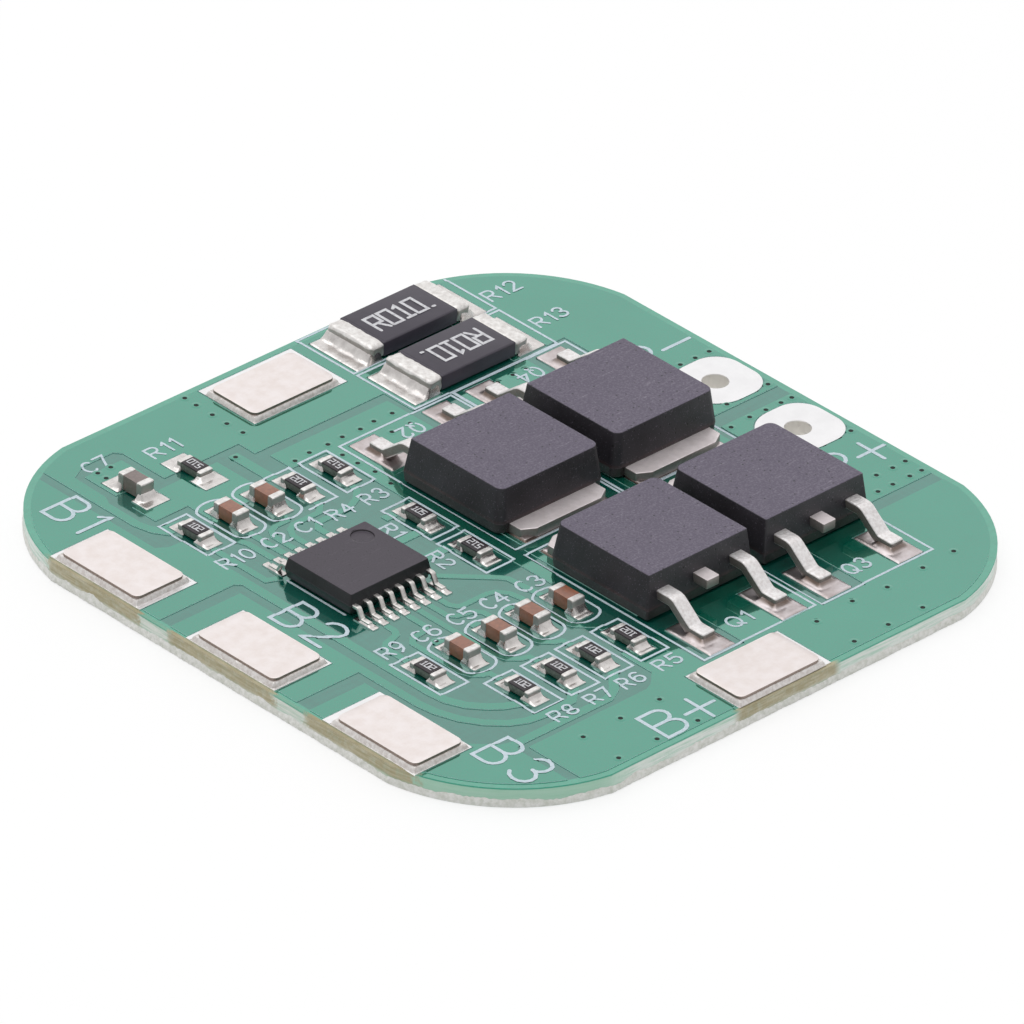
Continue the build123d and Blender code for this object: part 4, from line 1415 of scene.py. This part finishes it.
@dataclass
class SenseResistors:
    """Two large current sense resistors."""

    places: dict[str, tuple[Placement, float]] = field(default_factory=lambda: {
        "r12": (Placement(7.83, 15.68), 0.0), "r13": (Placement(7.83, 11.78), 180.0)})
    size: Spot = (6.4, 3.05, 0.78)
    terminal: float = 0.93
    land: Spot = (1.65, 3.25, 3.32)
    coat: Point = (4.5, 2.95)
    code: str = "R010."
    code_line: float = 0.165
    code_size: Point = (3.55, 1.4)
    code_gap: float = 0.2

    def build(self, dresser: Dresser) -> None:
        """Make the cores and end metal, then add overcoats, codes and solder."""
        coats, codes, solder = Skin(), Skin(), Skin()
        length, width, height = self.size
        top = LAND_TOP + height + 0.02
        pen = Pen(codes, self.code_line, lambda x, y: top, lift=0.003)
        ends = Ends((length, width, height + 0.03), cap=self.terminal + 0.04,
                    gripped=self.terminal, inset=0.05, wear=(0.22, 0.045, 14), land=self.land,
                    pool=(0.4, 0.42, 0.05, 0.07))
        for number, (name, (at, turn)) in enumerate(self.places.items()):
            body, caps = Skin(), Skin()
            body.block(at, (length - 2 * self.terminal + 0.2, width - 0.08), LAND_TOP + 0.06,
                       top - 0.02, round_by=0.06)
            dresser.make(f"{name}_core", body, SHUNT, instead_of=[f"{name}_body"])
            ends.add_to(caps, solder, at, number + 30)
            dresser.make(f"{name}_end_metal", caps, CAP, smooth=60.0,
                         instead_of=[f"{name}_terminals"])
            coats.block(at, self.coat, top - 0.12, top, round_by=0.09)
            pen.words(Words(self.code, at.x, at.y, *self.code_size, turn), CODE_GLYPHS,
                      self.code_gap)
        dresser.make("shunt_overcoats", coats, SHUNT)
        dresser.make("shunt_codes", codes, CODE)
        dresser.make("shunt_fillets", solder, SOLDER)


@dataclass
class BatteryTabs:
    """Nickel battery tabs on their solder beds."""

    names: tuple[str, ...] = ("b_minus", "b1", "b2", "b3", "b_plus")

    def build(self, dresser: Dresser) -> None:
        """Dress the sheets and lay the solder round each."""
        skin = Skin()
        for number, name in enumerate(self.names):
            dresser.dress(f"tab_{name}", NICKEL, 0.03)
            low, high = (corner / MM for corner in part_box(f"tab_{name}"))
            bed_low, bed_high = (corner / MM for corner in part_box(f"tab_{name}_solder"))
            Pool(grown(bed_low, bed_high, 0.05), grown(low, high, 0.02), rise=0.2, reach=0.14,
                 film=0.02, step=0.045, seed=number + 50.0, hollow=0.4).add_to(skin, Placement())
        dresser.make("tab_fillets", skin, BED_SOLDER,
                     instead_of=[f"tab_{name}_solder" for name in self.names])


@dataclass
class BrokenEdge:
    """Torn glass fibre along the lower half of the board's sides."""

    top: float = 0.56
    proud: float = 0.11
    step: float = 0.06
    levels: int = 9
    straight: float = 11.1

    def _outline(self) -> list[tuple[float, ...]]:
        """Places round the board, with the way out and the share of damage at each."""
        meet = math.degrees(math.acos((BOARD_HALF - CORNER_CENTRE) / CORNER_RADIUS))
        places: list[tuple[float, ...]] = []
        for quarter in range(4):
            turned = Placement(turn=90 * quarter)
            rows: list[tuple[float, ...]] = []
            count = round(2 * self.straight / self.step)
            for i in range(count):
                y = -self.straight + 2 * self.straight * i / count
                rows.append((BOARD_HALF, y, 1.0, 0.0, 1.0))
            sweep = 90 - 2 * meet
            count = round(math.radians(sweep) * CORNER_RADIUS / self.step)
            for i in range(count):
                angle = math.radians(meet + sweep * i / count)
                rows.append((CORNER_CENTRE + CORNER_RADIUS * math.cos(angle),
                             CORNER_CENTRE + CORNER_RADIUS * math.sin(angle),
                             math.cos(angle), math.sin(angle), 0.35 if quarter != 2 else 0.12))
            places += [(*turned.point(x, y), *turned.point(nx, ny), share)
                       for x, y, nx, ny, share in rows]
        return places

    def build(self, dresser: Dresser) -> None:
        """Make the ragged strip."""
        skin = Skin()
        places = self._outline()
        rows = []
        for x, y, nx, ny, share in [*places, places[0]]:
            row = []
            edge = self.top * (0.72 + 0.35 * lumps(x * 0.9, y * 0.9, 3.0)
                               + 0.12 * lumps(x * 5.0, y * 5.0, 9.0))
            for level in range(self.levels):
                part = level / (self.levels - 1)
                z = 0.002 + edge * part
                rough = (0.55 + 0.6 * lumps(x * 1.1, y * 1.1, z * 2.0)
                         + 0.55 * lumps(x * 6.5, y * 6.5, z * 7.0))
                belly = math.sin(math.pi * (0.15 + 0.85 * part))
                out = share * self.proud * max(0.0, rough) * belly
                row.append((x + nx * (out + 0.002), y + ny * (out + 0.002), z))
            rows.append(row)
        skin.sheet(rows)
        dresser.make("broken_edge", skin, FIBRE, smooth=60.0)


@dataclass
class Board:
    """Coated board with its bare lands, print and dots."""

    def build(self, dresser: Dresser) -> None:
        """Dress the board and lands, and add what is printed and drilled."""
        dresser.dress("board", MASK)
        for name in ("component_lands", "tab_lands", "wire_land_minus", "wire_land_plus"):
            dresser.dress(name, TIN)
        ground = Ground(dresser.nodes["board"])
        Legend().build(ground, dresser)
        Vias().build(ground, dresser)
        BrokenEdge().build(dresser)


@dataclass
class Studio:
    """White floor, soft light and the camera.

    The camera's target and distance are in millimetres, the floor and the lamp in metres.
    """

    focal_pixels: float = 13522.38
    image: int = 1024
    azimuth: float = 44.8803
    elevation: float = 31.8326
    roll: float = 2.43986
    target: Spot = (0.6961, 0.6334, 1.0)
    distance: float = 613.363
    floor_half: float = 3.0
    floor_low: float = -0.00003
    floor_glow: float = 0.72
    sky_level: float = 0.65
    sky_behind: float = 0.2
    sky_above: float = 0.1
    sky_least: float = 0.25
    lamp_place: Spot = (-0.1, 0.15, 0.8)
    lamp_size: float = 1.0
    lamp_energy: float = 1.9

    def floor(self) -> None:
        """Lay a large pale floor that keeps a faint shadow."""
        mesh = bpy.data.meshes.new("floor")
        half, low = self.floor_half, self.floor_low
        mesh.from_pydata([(-half, -half, low), (half, -half, low), (half, half, low),
                          (-half, half, low)], [], [(0, 1, 2, 3)])
        recipe = Recipe("pale_floor")
        cloud = recipe.grain(0.01, 1.0, 0.5)
        recipe.finish(Base_Color=recipe.mix(cloud, (0.3, 0.3, 0.3), (0.31, 0.31, 0.31)),
                      Roughness=0.9, IOR=1.05, Emission_Color=(1.0, 1.0, 1.0),
                      Emission_Strength=self.floor_glow)
        plain = recipe.node("ShaderNodeBsdfDiffuse", {}, {"Color": (0.92, 0.92, 0.92)})
        path = recipe.tree.nodes.new("ShaderNodeLightPath")
        direct, mirrored, through = (Field(recipe, path.outputs[f"Is {ray} Ray"])
                                     for ray in ("Camera", "Glossy", "Transmission"))
        seen = (direct + mirrored + through).least(1.0)
        both = recipe.node("ShaderNodeMixShader", {}, {
            0: seen, 1: plain, 2: Field(recipe, recipe.shader.outputs[0])})
        recipe.feed(recipe.output.inputs[0], both)
        mesh.materials.append(recipe.material)
        floor = bpy.data.objects.new("floor", mesh)
        bpy.context.scene.collection.objects.link(floor)

    def light(self) -> None:
        """Set surroundings that are brightest behind and above, and one large lamp above."""
        world = bpy.data.worlds.new("surroundings")
        bpy.context.scene.world = world
        world.use_nodes = True
        sky = Recipe.on(world.node_tree)
        across, along, up = sky.split(sky.node("ShaderNodeTexCoord", {}, {}, "Generated"))
        backdrop = world.node_tree.nodes["Background"].inputs
        glow = self.sky_level + (across + along) * self.sky_behind + up * self.sky_above
        sky.feed(backdrop["Strength"], glow.greatest(self.sky_least))
        sky.feed(backdrop["Color"], (1.0, 1.0, 1.0))
        lamp = bpy.data.lights.new("overhead", "AREA")
        lamp.shape = "DISK"
        lamp.size = self.lamp_size
        lamp.energy = self.lamp_energy
        above = bpy.data.objects.new("overhead", lamp)
        above.location = self.lamp_place
        above.rotation_euler = (-above.location).to_track_quat("-Z", "Y").to_euler()
        bpy.context.scene.collection.objects.link(above)

    def camera(self) -> None:
        """Stand the camera where the photograph was taken."""
        a, e, roll = (math.radians(v) for v in (self.azimuth, self.elevation, self.roll))
        forward = Vector((math.cos(a) * math.cos(e), math.sin(a) * math.cos(e), -math.sin(e)))
        level = Vector((math.sin(a), -math.cos(a), 0))
        upright = level.cross(forward)
        right = level * math.cos(roll) + upright * math.sin(roll)
        up = upright * math.cos(roll) - level * math.sin(roll)
        data = bpy.data.cameras.new("camera")
        data.sensor_width = 36
        data.lens = self.focal_pixels * data.sensor_width / self.image
        data.clip_start, data.clip_end = 0.01, 20
        camera = bpy.data.objects.new("camera", data)
        turn = Matrix((right, up, -forward)).transposed().to_4x4()
        camera.matrix_world = Matrix.Translation(
            (Vector(self.target) - forward * self.distance) * MM) @ turn
        bpy.context.scene.collection.objects.link(camera)
        bpy.context.scene.camera = camera

    def build(self) -> None:
        """Set up everything that isn't the object."""
        self.floor()
        self.light()
        self.camera()
        bpy.context.scene.view_settings.view_transform = "Standard"


def main() -> None:
    """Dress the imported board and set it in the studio."""
    logging.basicConfig(level=logging.INFO, format="%(name)s %(message)s")
    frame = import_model()
    dresser = Dresser(frame["nodes"])
    for assembly in (Board(), PowerTransistors(), Controller(), ChipParts(), SenseResistors(),
                     BatteryTabs()):
        assembly.build(dresser)
    Studio().build()


if __name__ == "__main__":
    main()
